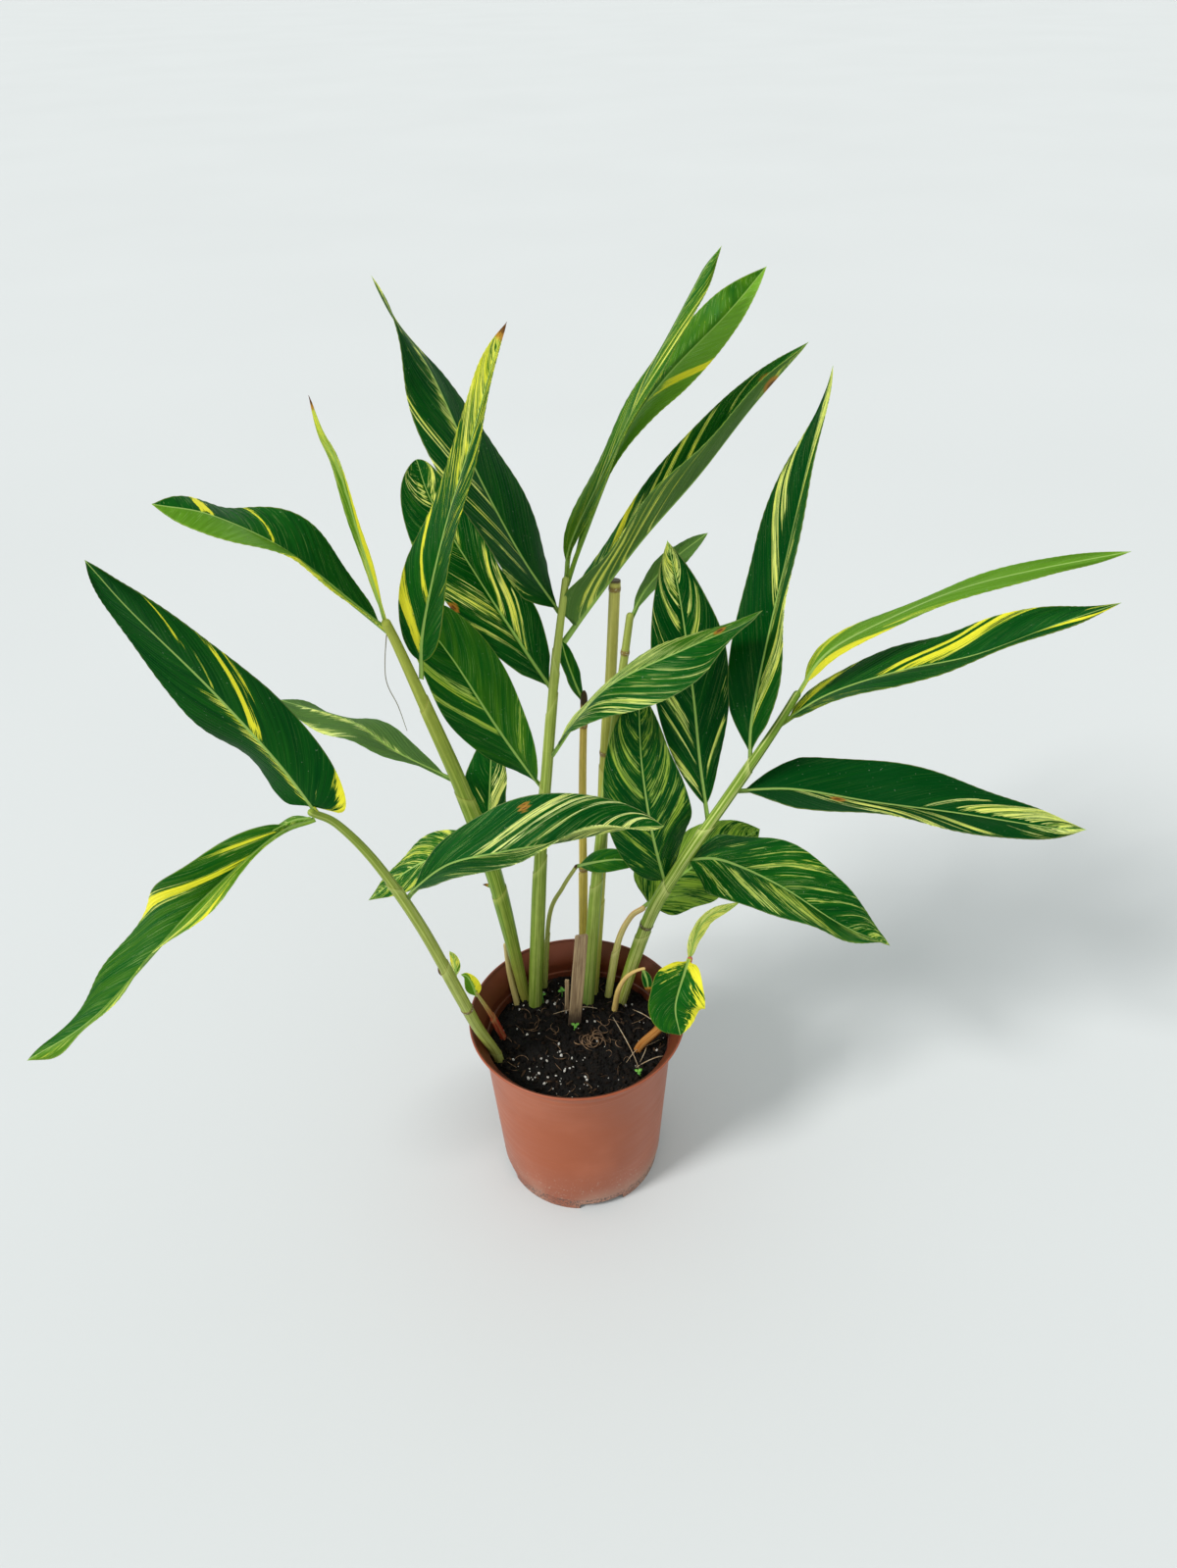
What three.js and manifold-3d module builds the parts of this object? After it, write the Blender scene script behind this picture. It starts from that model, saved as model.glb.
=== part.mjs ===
// Potted variegated shell ginger: leafy stems from one rhizome, in a round plastic nursery pot.
// Millimetres. The origin is the centre of the pot's underside, +Z is up, +Y is the back.
import * as THREE from 'three';
import { mergeVertices } from 'three/addons/utils/BufferGeometryUtils.js';
import Module from 'manifold-3d';

const wasm = await Module();
wasm.setup();

// Gap that every piece keeps from the piece it stands in or grows from.
const SEAT = 0.35;

// Pot
const POT_HEIGHT = 163.6;
const RIM_RADIUS = 85;
const SHOULDER_RADIUS = 74.7;
const SHOULDER_HEIGHT = 143.6;
const BODY_FOOT_RADIUS = 66.4;
const BASE_RADIUS = 64.2;
const BASE_STEP_HEIGHT = 14;
const WALL = 1.2;
const LEDGE_HEIGHT = 138;
const LEDGE_STEP = 1.2;
const FLOOR_UNDERSIDE = 7;
const FLOOR_TOP = 9;
const HUB_RADIUS = 30;
const POT_SEGMENTS = 36;
const DRAIN_HOLES = 8;
const DRAIN_CIRCLE = 48;
const DRAIN_RADIUS = 5.5;
const NOTCHES = 4;
const NOTCH_WIDTH = 37;
const NOTCH_HEIGHT = 6.5;
const FRONT_NOTCH_ANGLE = THREE.MathUtils.degToRad(-77);

// Soil
const SOIL_LEVEL = 130;
const SOIL_MOUND = 5;
const SOIL_ROUGHNESS = 1.1;
const SOIL_SEGMENTS = 30;

// Blades and stems
const SUNWARD = new THREE.Vector3(0, -0.7, 0.714).normalize();
const BLADE_EDGE = 0.7;
const BLADE_CURL = THREE.MathUtils.degToRad(-14);
const PETIOLE_RADIUS = 1.6;
const PETIOLE_SHARE = 0.06;
const NECKED_PETIOLE_SHARE = 0.02;
const POINT_SHARE = 0.16;
const POINT_TAPER = 1.05;
const TIP_HALF_WIDTH = 0.8;
const STEM_SIDES = 8;
const SHEATH_STEP = 0.45;

// Looks of the bare model
const finish = (color, roughness) => new THREE.MeshStandardMaterial({ color, roughness, metalness: 0 });
const FINISH = {
  plastic: finish(0xb0674c, 0.45),
  soil: finish(0x1e1611, 0.95),
  rhizome: finish(0xb08a68, 0.8),
  blade: finish(0x2f6a2c, 0.5),
  youngBlade: finish(0x8fae3a, 0.5),
  stem: finish(0x7f9a45, 0.55),
  dryStem: finish(0xb49a5c, 0.7),
  redShoot: finish(0xa85a40, 0.6),
  wood: finish(0x8f7a66, 0.85),
};

// Stems and shoots. A path runs from the foot in the soil to the tip, radii are spread evenly along it,
// and a joint is the share of the length where a leaf sheath ends and the stem gets thinner.
const STEMS = {
  stem_front_left: {
    finish: 'stem', radii: [3.8, 3.9, 4.2, 4, 3.5, 3, 2.4], joints: [0.1, 0.47, 0.74],
    path: [
      [-61, -12, 112], [-64, -16, 134], [-66.5, -19, 148], [-76, -27, 182], [-84, -38, 225],
      [-103, -52, 309], [-124, -60, 372], [-142, -68, 411], [-155, -75, 427],
    ],
  },
  stem_left: {
    finish: 'stem', radii: [4.2, 4.8, 5.8, 6.2, 5.2, 4, 3], joints: [0.38, 0.62, 0.83],
    path: [
      [-41, 50, 112], [-43, 48, 136], [-57, 30, 279], [-74, 24, 367], [-91, 14, 442],
      [-102, 4, 493], [-107, 0, 513],
    ],
  },
  stem_centre: {
    finish: 'stem', radii: [5.6, 5.5, 5.2, 4.4, 3.8, 3, 2.4], joints: [0.44, 0.6, 0.78, 0.86],
    path: [
      [-35, 41, 112], [-34, 41, 138], [-23, 34, 290], [-14, 38, 376], [-6, 42, 446], [-1, 46, 481],
      [4, 50, 513],
    ],
  },
  stem_slim: {
    finish: 'dryStem', radii: [3.4, 3.2, 3, 2.6], joints: [0.5],
    path: [[5, 57, 112], [6, 58, 135], [9, 60, 247], [11, 66, 337], [14, 70, 409]],
  },
  cane_cut: {
    finish: 'dryStem', radii: [4.4, 4.2, 4, 3.8], joints: [0.3, 0.62],
    path: [
      [12, 51, 112], [14, 51, 135], [22, 54, 251], [29, 60, 383], [33, 63, 432], [37, 68, 503],
    ],
  },
  stem_back: {
    finish: 'stem', radii: [5.2, 4.8, 4.2, 3.4, 2.6], joints: [0.4, 0.7],
    path: [[7, 38, 112], [9, 39, 135], [19, 43, 261], [31, 47, 368], [40, 50, 439], [46, 54, 483]],
  },
  stem_right: {
    finish: 'stem', radii: [5, 5, 5, 4.6, 4, 3.4, 2.6], joints: [0.3, 0.46, 0.64, 0.82],
    path: [
      [34, 40, 112], [37, 40, 135], [58, 28, 233], [80, 22, 290], [111, 14, 357], [138, 6, 417],
      [151, 2, 449],
    ],
  },
  stem_arched: {
    finish: 'stem', radii: [3, 3, 2.6, 2.2], joints: [0.6],
    path: [[25, 48, 112], [27, 47, 135], [35, 44, 195], [45, 44, 222], [55, 42, 233]],
  },
  shoot_front_right: {
    finish: 'redShoot', radii: [3.4, 3.2, 2.8, 2], joints: [0.55],
    path: [[44, -10, 112], [49, -11, 134], [66, -10, 156], [81, -12, 196], [86, -12, 229]],
  },
  stub_curled: {
    finish: 'dryStem', radii: [2.6, 2.4, 2, 1.2], joints: [],
    path: [
      [28, 30, 112], [31, 30, 134], [34, 24, 162], [40, 21, 179], [48, 19, 188], [54, 18, 191],
    ],
  },
  stub_left: {
    finish: 'dryStem', radii: [2.6, 2.6, 2.4, 1.6], joints: [],
    path: [[-48, 42, 112], [-50, 44, 134], [-54, 50, 160], [-56, 54, 188]],
  },
  shoot_small: {
    finish: 'stem', radii: [2, 1.9, 1.8, 1.5], joints: [0.5],
    path: [[-27, 56, 112], [-26, 58, 135], [-19, 52, 219], [-7, 48, 253], [4, 46, 275]],
  },
  shoot_red: {
    finish: 'redShoot', radii: [2.6, 2.6, 1.8, 1.1], joints: [0.55],
    path: [[-56, 10, 112], [-61, 7, 134], [-66, -6, 170], [-74, -25, 216]],
  },
};

// Leaves. A path is the midrib from the stem to the tip. left and right are the angles, in degrees, at which
// the two half blades rise from a plane that faces the sun, at even steps from the base to the tip.
const LEAVES = {
  leaf_front_left_upper: {
    stem: 'stem_front_left', width: 54, belly: 0.28, taper: 0.60, heel: 1.0, wave: 0.8, waves: 3, phase: 2,
    left: [-31, -54, -28, -45, -30], right: [51, 22, 33, 45, 38],
    path: [
      [-151, -73, 421], [-168, -78, 466], [-194, -84, 521], [-222, -92, 574], [-235, -98, 606],
    ],
  },
  leaf_front_left_drooping: {
    stem: 'stem_front_left', width: 55, belly: 0.45, taper: 0.75, wave: 2.4, waves: 3,
    left: [70, 64, 77, 74, 36], right: [15, 50, -8, -20, -37],
    path: [
      [-154, -74, 421], [-179, -84, 415], [-234, -92, 369], [-310, -104, 293], [-362, -112, 261],
    ],
  },
  leaf_front_left_low: {
    stem: 'stem_front_left', width: 65, belly: 0.55, taper: 0.91,
    left: [-32, -14, 5, 9, -19], right: [70, 66, 72, 102, 68],
    path: [
      [-111, -55, 334], [-104, -57, 346], [-78, -62, 371], [-43, -64, 381], [-3, -64, 388],
      [38, -60, 393], [60, -58, 392],
    ],
  },
  leaf_left_top: {
    stem: 'stem_left', width: 48, belly: 0.50, taper: 0.87, wave: 1.8, waves: 2,
    left: [73, 78, 84, 44, 16], right: [-22, -19, -8, -42, 2],
    path: [[-106, 3, 505], [-124, 0, 526], [-158, -8, 567], [-192, -18, 594], [-221, -26, 605]],
  },
  leaf_left_spear: {
    stem: 'stem_left', width: 10, belly: 0.46, taper: 1.00, wave: 0.3, finish: 'youngBlade',
    left: [-32, -41, -24, -23, -19], right: [47, 43, 68, 67, 58],
    path: [[-107, 0, 510], [-116, 6, 563], [-124, 12, 608], [-131, 14, 628], [-135, 16, 648]],
  },
  leaf_left_twisted: {
    stem: 'stem_left', width: 45, belly: 0.40, taper: 0.85,
    left: [-1, 6, -42, -30, -11], right: [13, 55, 63, 67, 65],
    path: [
      [-91, 8, 468], [-86, 8, 503], [-67, 10, 567], [-48, 14, 617], [-31, 20, 664], [-23, 22, 682],
    ],
  },
  leaf_left_outer: {
    stem: 'stem_left', width: 40, belly: 0.54, taper: 0.85,
    left: [61, 78, 59, 35, 41], right: [-23, -17, -46, -77, -37],
    path: [[-78, 23, 376], [-116, 32, 395], [-148, 42, 417], [-196, 52, 430]],
  },
  leaf_left_low: {
    stem: 'stem_left', width: 41, belly: 0.37, taper: 0.94,
    left: [21, 27, 23, 32, 47], right: [12, 10, -11, -33, -32],
    path: [[-58, 31, 287], [-73, 42, 294], [-115, 58, 275], [-162, 64, 234]],
  },
  leaf_left_inner: {
    stem: 'stem_left', width: 40, belly: 0.42, taper: 0.96,
    left: [2, -3, -2, -8, -7], right: [32, 39, 55, 51, 42],
    path: [[-61, 30, 303], [-58, 48, 336], [-55, 60, 367], [-53, 70, 392]],
  },
  leaf_centre_tall: {
    stem: 'stem_centre', width: 63, belly: 0.39, taper: 0.68, neck: 0.10, phase: 2,
    left: [35, 61, 46, 45, 115], right: [-43, -32, -41, -66, -68],
    path: [
      [0, 50, 489], [-24, 56, 528], [-48, 66, 579], [-73, 84, 639], [-93, 94, 668],
      [-104, 100, 691],
    ],
  },
  leaf_centre_middle: {
    stem: 'stem_centre', width: 58, belly: 0.56, taper: 0.60, neck: 0.10, pointed: false,
    left: [21, 24, 19, 2, -1], right: [12, 25, 69, 55, 41],
    path: [[-7, 43, 433], [-23, 58, 453], [-53, 82, 498], [-82, 102, 547], [-91, 112, 574]],
  },
  leaf_centre_low: {
    stem: 'stem_centre', width: 54, belly: 0.53, taper: 0.60,
    left: [-83, -21, 9, 34, 40], right: [70, 51, 31, 9, -10],
    path: [[-18, 40, 351], [-47, 42, 406], [-71, 44, 456], [-89, 46, 489], [-95, 46, 511]],
  },
  leaf_centre_folded: {
    stem: 'stem_centre', width: 54, belly: 0.28, taper: 0.63,
    left: [-33, -34, -6, 10, -24], right: [156, 113, 117, 108, 102],
    path: [
      [1, 48, 469], [20, 54, 493], [54, 68, 531], [92, 82, 568], [127, 96, 607], [162, 108, 642],
    ],
  },
  leaf_centre_top_narrow: {
    stem: 'stem_centre', width: 39, belly: 0.52, taper: 0.60,
    left: [-24, -43, -56, -72, -73], right: [65, 73, 78, 62, 27],
    path: [[4, 52, 512], [9, 54, 538], [32, 62, 583], [63, 78, 641], [91, 92, 687], [103, 96, 702]],
  },
  leaf_centre_top_wide: {
    stem: 'stem_centre', width: 42, belly: 0.60, taper: 0.88, clear: ['leaf_centre_top_narrow'],
    left: [-42, -36, -43, -16, 30], right: [79, 93, 54, 37, 41],
    path: [
      [4, 51, 509], [15, 64, 533], [44, 80, 594], [71, 96, 626], [110, 112, 659], [135, 122, 684],
    ],
  },
  leaf_centre_right: {
    stem: 'stem_centre', width: 53, belly: 0.49, taper: 0.96,
    left: [-52, -65, -53, -48, -55], right: [92, 74, 17, 13, 77],
    path: [
      [-11, 37, 385], [9, 28, 421], [34, 20, 453], [81, 8, 484], [112, -2, 504], [123, -6, 515],
    ],
  },
  leaf_back_tip: {
    stem: 'stem_back', width: 21, belly: 0.51, taper: 1.00, wave: 0.5,
    left: [-30, -37, -29, -22, -9], right: [55, 57, 49, 35, 32],
    path: [[46, 53, 481], [58, 64, 498], [77, 76, 513], [100, 84, 527]],
  },
  leaf_right_low: {
    stem: 'stem_right', width: 62, belly: 0.43, taper: 0.80,
    left: [24, 13, 11, 4, -2], right: [-16, -3, 26, 42, 30],
    path: [[71, 24, 268], [60, 23, 321], [53, 26, 373], [51, 31, 408], [51, 36, 437]],
  },
  leaf_right_middle: {
    stem: 'stem_right', width: 54, belly: 0.50, taper: 0.89,
    left: [35, 19, 10, 13, -9], right: [-6, -10, -5, 32, 45],
    path: [[99, 17, 337], [93, 25, 380], [88, 39, 431], [79, 53, 495], [71, 63, 532]],
  },
  leaf_right_tall: {
    stem: 'stem_right', width: 58, belly: 0.47, taper: 0.90, neck: 0.12,
    left: [-13, -20, -42, -43, -104], right: [62, 72, 92, 94, 76],
    path: [
      [125, 10, 391], [125, 12, 427], [134, 20, 488], [144, 30, 540], [156, 44, 600],
      [166, 54, 643],
    ],
  },
  leaf_right_side: {
    stem: 'stem_right', width: 61, belly: 0.37, taper: 0.83, neck: 0.16, phase: 1,
    left: [-14, -8, 3, -14, -10], right: [56, 63, 72, 48, 36],
    path: [
      [118, 13, 365], [157, 6, 369], [208, -8, 366], [262, -24, 366], [316, -40, 364],
      [341, -46, 365],
    ],
  },
  leaf_right_front: {
    stem: 'stem_right', width: 66, belly: 0.38, taper: 0.63, neck: 0.10, wave: 1.8, waves: 3, phase: 1,
    left: [-40, -24, 5, 7, -16], right: [16, 33, 55, 67, 81],
    path: [[84, 21, 298], [110, 10, 305], [150, -6, 292], [192, -24, 269], [227, -36, 257]],
  },
  leaf_right_top: {
    stem: 'stem_right', width: 49, belly: 0.42, taper: 0.95, phase: 3,
    left: [-18, -36, -25, 1, -36], right: [79, 67, 68, 81, 56],
    path: [
      [139, 6, 421], [171, 0, 449], [211, -8, 469], [256, -18, 485], [298, -28, 510],
      [330, -34, 526],
    ],
  },
  leaf_right_top_narrow: {
    stem: 'stem_right', width: 27, belly: 0.39, taper: 0.86, wave: 0.8, finish: 'youngBlade',
    left: [-27, -42, -60, -24, -15], right: [42, 60, 55, 49, 20],
    path: [
      [150, 2, 446], [169, 4, 478], [210, 10, 499], [254, 18, 513], [303, 26, 520], [364, 34, 526],
    ],
  },
  leaf_arched: {
    stem: 'stem_arched', width: 66, belly: 0.29, taper: 0.62,
    left: [4, -17, -26, 2, 3], right: [35, 50, 10, 24, 23],
    path: [[55, 42, 234], [75, 54, 243], [103, 66, 259], [150, 80, 277]],
  },
  leaf_shoot_broad: {
    stem: 'shoot_front_right', width: 45, belly: 0.46, taper: 0.69, wave: 0.8, finish: 'youngBlade',
    left: [41, 46, 27, 2, 7], right: [-3, 12, 31, 18, 24],
    path: [[85, -14, 231], [81, -24, 227], [73, -38, 207], [76, -48, 186]],
  },
  leaf_shoot_narrow: {
    stem: 'shoot_front_right', width: 15, belly: 0.42, taper: 1.02, wave: 0.4, finish: 'youngBlade',
    left: [52, 55, 61, 55, 53], right: [-22, -37, -37, -35, -27],
    path: [[85, -12, 225], [90, -8, 247], [100, 0, 259], [125, 10, 264]],
  },
  leaf_stub_tiny: {
    stem: 'stub_curled', width: 8, belly: 0.43, taper: 0.95, wave: 0.2, finish: 'youngBlade',
    left: [17, 17, 18, 17, 17], right: [15, 15, 15, 15, 15],
    path: [[53, 18, 191], [56, 12, 184], [57, 8, 174]],
  },
  leaf_small_shoot: {
    stem: 'shoot_small', width: 18, belly: 0.54, taper: 1.00, wave: 0.5,
    left: [5, 5, 22, 36, 34], right: [25, 17, 10, 3, -1],
    path: [[4, 46, 275], [18, 32, 290], [35, 28, 295], [53, 26, 292]],
  },
  leaf_slim_dark: {
    stem: 'stem_slim', width: 14, belly: 0.47, taper: 0.93, wave: 0.4,
    left: [45, 48, 54, 37, 28], right: [-14, -22, -15, -10, 1],
    path: [[14, 71, 405], [8, 74, 421], [3, 78, 437], [-1, 82, 454]],
  },
  leaf_red_shoot: {
    stem: 'shoot_red', width: 12, belly: 0.40, taper: 0.98, wave: 0.3, finish: 'youngBlade',
    left: [16, 16, 19, 23, 21], right: [17, 17, 18, 17, 13],
    path: [[-74, -24, 212], [-77, -25, 227], [-80, -25, 234], [-84, -25, 236]],
  },
};

const vec = (p) => new THREE.Vector3(p[0], p[1], p[2]);
const rad = THREE.MathUtils.degToRad;

// Solids

function signedVolume(positions, index) {
  let sum = 0;
  const [a, b, c] = [new THREE.Vector3(), new THREE.Vector3(), new THREE.Vector3()];
  for (let i = 0; i < index.length; i += 3) {
    a.fromArray(positions, 3 * index[i]);
    b.fromArray(positions, 3 * index[i + 1]);
    c.fromArray(positions, 3 * index[i + 2]);
    sum += a.dot(b.cross(c)) / 6;
  }
  return sum;
}

// A closed solid through rings that all have the same number of points. The second half of each ring
// is split along the other diagonal, so the two faces of a thin blade have the same triangles.
function loft(rings) {
  const size = rings[0].length;
  const positions = rings.flatMap((ring) => ring.flatMap((p) => p.toArray()));
  const index = [];
  for (let i = 0; i + 1 < rings.length; i += 1) {
    for (let k = 0; k < size; k += 1) {
      const next = (k + 1) % size;
      const [a, b] = [i * size + k, i * size + next];
      const [c, d] = [b + size, a + size];
      if (k < size / 2) {
        index.push(a, b, c, a, c, d);
      } else {
        index.push(a, b, d, b, c, d);
      }
    }
  }
  const last = (rings.length - 1) * size;
  for (let k = 1; k + 1 < size; k += 1) {
    index.push(0, k + 1, k);
    index.push(last, last + k, last + k + 1);
  }
  if (signedVolume(positions, index) < 0) {
    index.reverse();
  }
  const geometry = new THREE.BufferGeometry();
  geometry.setAttribute('position', new THREE.Float32BufferAttribute(positions, 3));
  geometry.setIndex(index);
  return geometry;
}

function toSolid(geometry) {
  const bare = geometry.clone();
  bare.deleteAttribute('normal');
  bare.deleteAttribute('uv');
  const merged = mergeVertices(bare, 1e-4);
  const source = Array.from(merged.index.array);
  const triangles = [];
  for (let i = 0; i < source.length; i += 3) {
    const [a, b, c] = source.slice(i, i + 3);
    if (a !== b && b !== c && c !== a) {
      triangles.push(a, b, c);
    }
  }
  const mesh = new wasm.Mesh({
    numProp: 3,
    vertProperties: new Float32Array(merged.attributes.position.array),
    triVerts: new Uint32Array(triangles),
  });
  return new wasm.Manifold(mesh);
}

function toGeometry(solid) {
  const mesh = solid.getMesh();
  const geometry = new THREE.BufferGeometry();
  geometry.setAttribute('position', new THREE.BufferAttribute(new Float32Array(mesh.vertProperties), 3));
  geometry.setIndex(new THREE.BufferAttribute(new Uint32Array(mesh.triVerts), 1));
  geometry.computeVertexNormals();
  return geometry;
}

// The largest piece left after a cut, without the loose scraps.
function largestPiece(solid) {
  return solid.decompose().reduce((best, piece) => (piece.volume() > best.volume() ? piece : best));
}

// Curves

// Value at share t of a list of evenly spaced values, along a smooth curve through them.
function along(values, t) {
  if (values.length === 1) {
    return values[0];
  }
  const points = values.map((value, i) => new THREE.Vector2(i, value));
  return new THREE.SplineCurve(points).getPoint(t).y;
}

// Frame on a path at share t of its length: where it is, its direction, its sunward side and its right.
function frameAt(curve, t) {
  const at = curve.getPointAt(t);
  const ahead = curve.getTangentAt(t);
  const up = SUNWARD.clone().addScaledVector(ahead, -SUNWARD.dot(ahead)).normalize();
  const right = new THREE.Vector3().crossVectors(ahead, up);
  return { at, ahead, up, right };
}

const pathCurve = (path) => new THREE.CatmullRomCurve3(path.map(vec), false, 'catmullrom', 0.5);

// Stems

function stemShares(joints, count) {
  const shares = Array.from({ length: count + 1 }, (_, i) => i / count);
  const clear = shares.filter((t) => joints.every((joint) => Math.abs(t - joint) > 0.02));
  const steps = joints.flatMap((joint) => [joint - 0.004, joint + 0.004]);
  return [...clear, ...steps].sort((a, b) => a - b);
}

// Each sheath widens a little up to its joint, where the next one comes out of it.
function sheathExtra(joints, t) {
  const end = joints.find((joint) => joint >= t);
  if (end === undefined) {
    return 0;
  }
  const start = Math.max(0, ...joints.filter((joint) => joint < t));
  return SHEATH_STEP * (t - start) / (end - start);
}

function stemGeometry({ path, radii, joints }, grow = 0) {
  const curve = pathCurve(path);
  const count = curve.getLength() > 150 ? 11 : 7;
  const rings = stemShares(joints, count).map((t) => {
    const { at, up, right } = frameAt(curve, t);
    const radius = along(radii, t) + sheathExtra(joints, t) + grow;
    return Array.from({ length: STEM_SIDES }, (_, k) => {
      const angle = 2 * Math.PI * k / STEM_SIDES;
      const out = right.clone().multiplyScalar(Math.cos(angle)).addScaledVector(up, Math.sin(angle));
      return at.clone().addScaledVector(out, radius);
    });
  });
  return loft(rings);
}

// Leaves

// Half width of a blade at share t: a thin stalk, then the blade, widest at its belly, then the tip. A neck
// is the share over which the base is drawn in. A pointed blade runs out to a sharper tip than its taper.
function halfWidth({ width, belly, taper, neck, pointed }, t) {
  const stalk = neck > 0 ? NECKED_PETIOLE_SHARE : PETIOLE_SHARE;
  const x = Math.min(Math.max((t - stalk) / (1 - stalk), 0), 1);
  const rise = taper * belly / (1 - belly);
  const shape = (x ** rise * (1 - x) ** taper) / (belly ** rise * (1 - belly) ** taper);
  const narrowed = neck > 0 ? Math.sqrt(Math.min(1, x / neck)) : 1;
  const end = Math.min(1, (1 - x) / POINT_SHARE);
  const sharpened = pointed ? (end * (2 - end)) ** Math.max(0, POINT_TAPER - taper) : 1;
  return Math.max(width / 2 * shape * narrowed * sharpened, PETIOLE_RADIUS * (1 - t) ** 2, TIP_HALF_WIDTH);
}

// Point and outward normal of a blade's middle surface at share t of its length, for side -1 or 1 and
// share v from the midrib to the edge. The side starts at its own angle and curls down towards the edge.
function bladePoint(leaf, frame, t, side, v) {
  const angle = rad(along(side < 0 ? leaf.left : leaf.right, t));
  const half = halfWidth(leaf, t);
  const turned = angle + BLADE_CURL * v;
  const out = half * (Math.sin(turned) - Math.sin(angle)) / BLADE_CURL;
  const lift = half * (Math.cos(angle) - Math.cos(turned)) / BLADE_CURL;
  const wave = leaf.wave * v * v * Math.sin(2 * Math.PI * leaf.waves * t + leaf.phase + 0.9 * side);
  const crest = wave * Math.min(1, half / 8);
  const point = frame.at.clone()
    .addScaledVector(frame.right, side * (out - crest * Math.sin(turned)))
    .addScaledVector(frame.up, lift + crest * Math.cos(turned));
  const heel = side > 0 ? leaf.heel * half * v ** 1.5 * Math.max(0, 1 - 2.2 * t) : 0;
  point.addScaledVector(frame.ahead, -heel);
  const normal = new THREE.Vector3()
    .addScaledVector(frame.right, -side * Math.sin(turned))
    .addScaledVector(frame.up, Math.cos(turned));
  return { point, normal };
}

const BLADE_COLUMNS = [[-1, 1], [-1, 0.5], [1, 0], [1, 0.5], [1, 1]];
const LEAF_DEFAULTS = {
  wave: 1.2, waves: 2.5, phase: 0, heel: 0, neck: 0, pointed: true, finish: 'blade', clear: [],
};

function leafGeometry(spec, grow = 0) {
  const leaf = { ...LEAF_DEFAULTS, ...spec };
  const curve = pathCurve(leaf.path);
  const stations = curve.getLength() > 90 ? 12 : 8;
  const rings = Array.from({ length: stations + 1 }, (_, i) => {
    const t = i / stations;
    const frame = frameAt(curve, t);
    const turn = rad(along(leaf.right, t) - along(leaf.left, t)) / 2;
    const ribNormal = frame.up.clone().multiplyScalar(Math.cos(turn))
      .addScaledVector(frame.right, -Math.sin(turn));
    const ribThickness = BLADE_EDGE + 2.2 * (1 - t) ** 2;
    const columns = BLADE_COLUMNS.map(([side, v]) => {
      const { point, normal } = bladePoint(leaf, frame, t, side, v);
      const thickness = (v === 0 ? ribThickness : BLADE_EDGE) / 2 + grow;
      const outward = v === 0 ? ribNormal : normal;
      return { point, offset: outward.clone().multiplyScalar(thickness) };
    });
    const widen = (columnIndex, point) => {
      const edge = columnIndex === 0 ? -1 : columnIndex === 4 ? 1 : 0;
      return point.addScaledVector(frame.right, edge * grow);
    };
    const top = columns.map(({ point, offset }, k) => widen(k, point.clone().add(offset)));
    const under = columns.map(({ point, offset }, k) => widen(k, point.clone().sub(offset)));
    return [...top, ...under.reverse()];
  });
  return loft(rings);
}

// Pot

function lathe(profile, segments) {
  const geometry = new THREE.LatheGeometry(profile.map(([r, z]) => new THREE.Vector2(r, z)), segments);
  geometry.rotateX(Math.PI / 2);
  return geometry;
}

// Outer radius of the tapered wall at height z, between the base step and the shoulder.
function wallRadius(z) {
  const share = (z - BASE_STEP_HEIGHT) / (SHOULDER_HEIGHT - BASE_STEP_HEIGHT);
  return THREE.MathUtils.lerp(BODY_FOOT_RADIUS, SHOULDER_RADIUS, share);
}

// The flare from the shoulder to the rim, as a curve that gets steeper outwards.
function flare(offset) {
  return [0.3, 0.55, 0.78, 0.93, 1].map((share) => {
    const radius = SHOULDER_RADIUS + (RIM_RADIUS - SHOULDER_RADIUS) * share ** 1.9 - offset;
    return [radius, SHOULDER_HEIGHT + (POT_HEIGHT - 1.4 - SHOULDER_HEIGHT) * share];
  });
}

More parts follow.
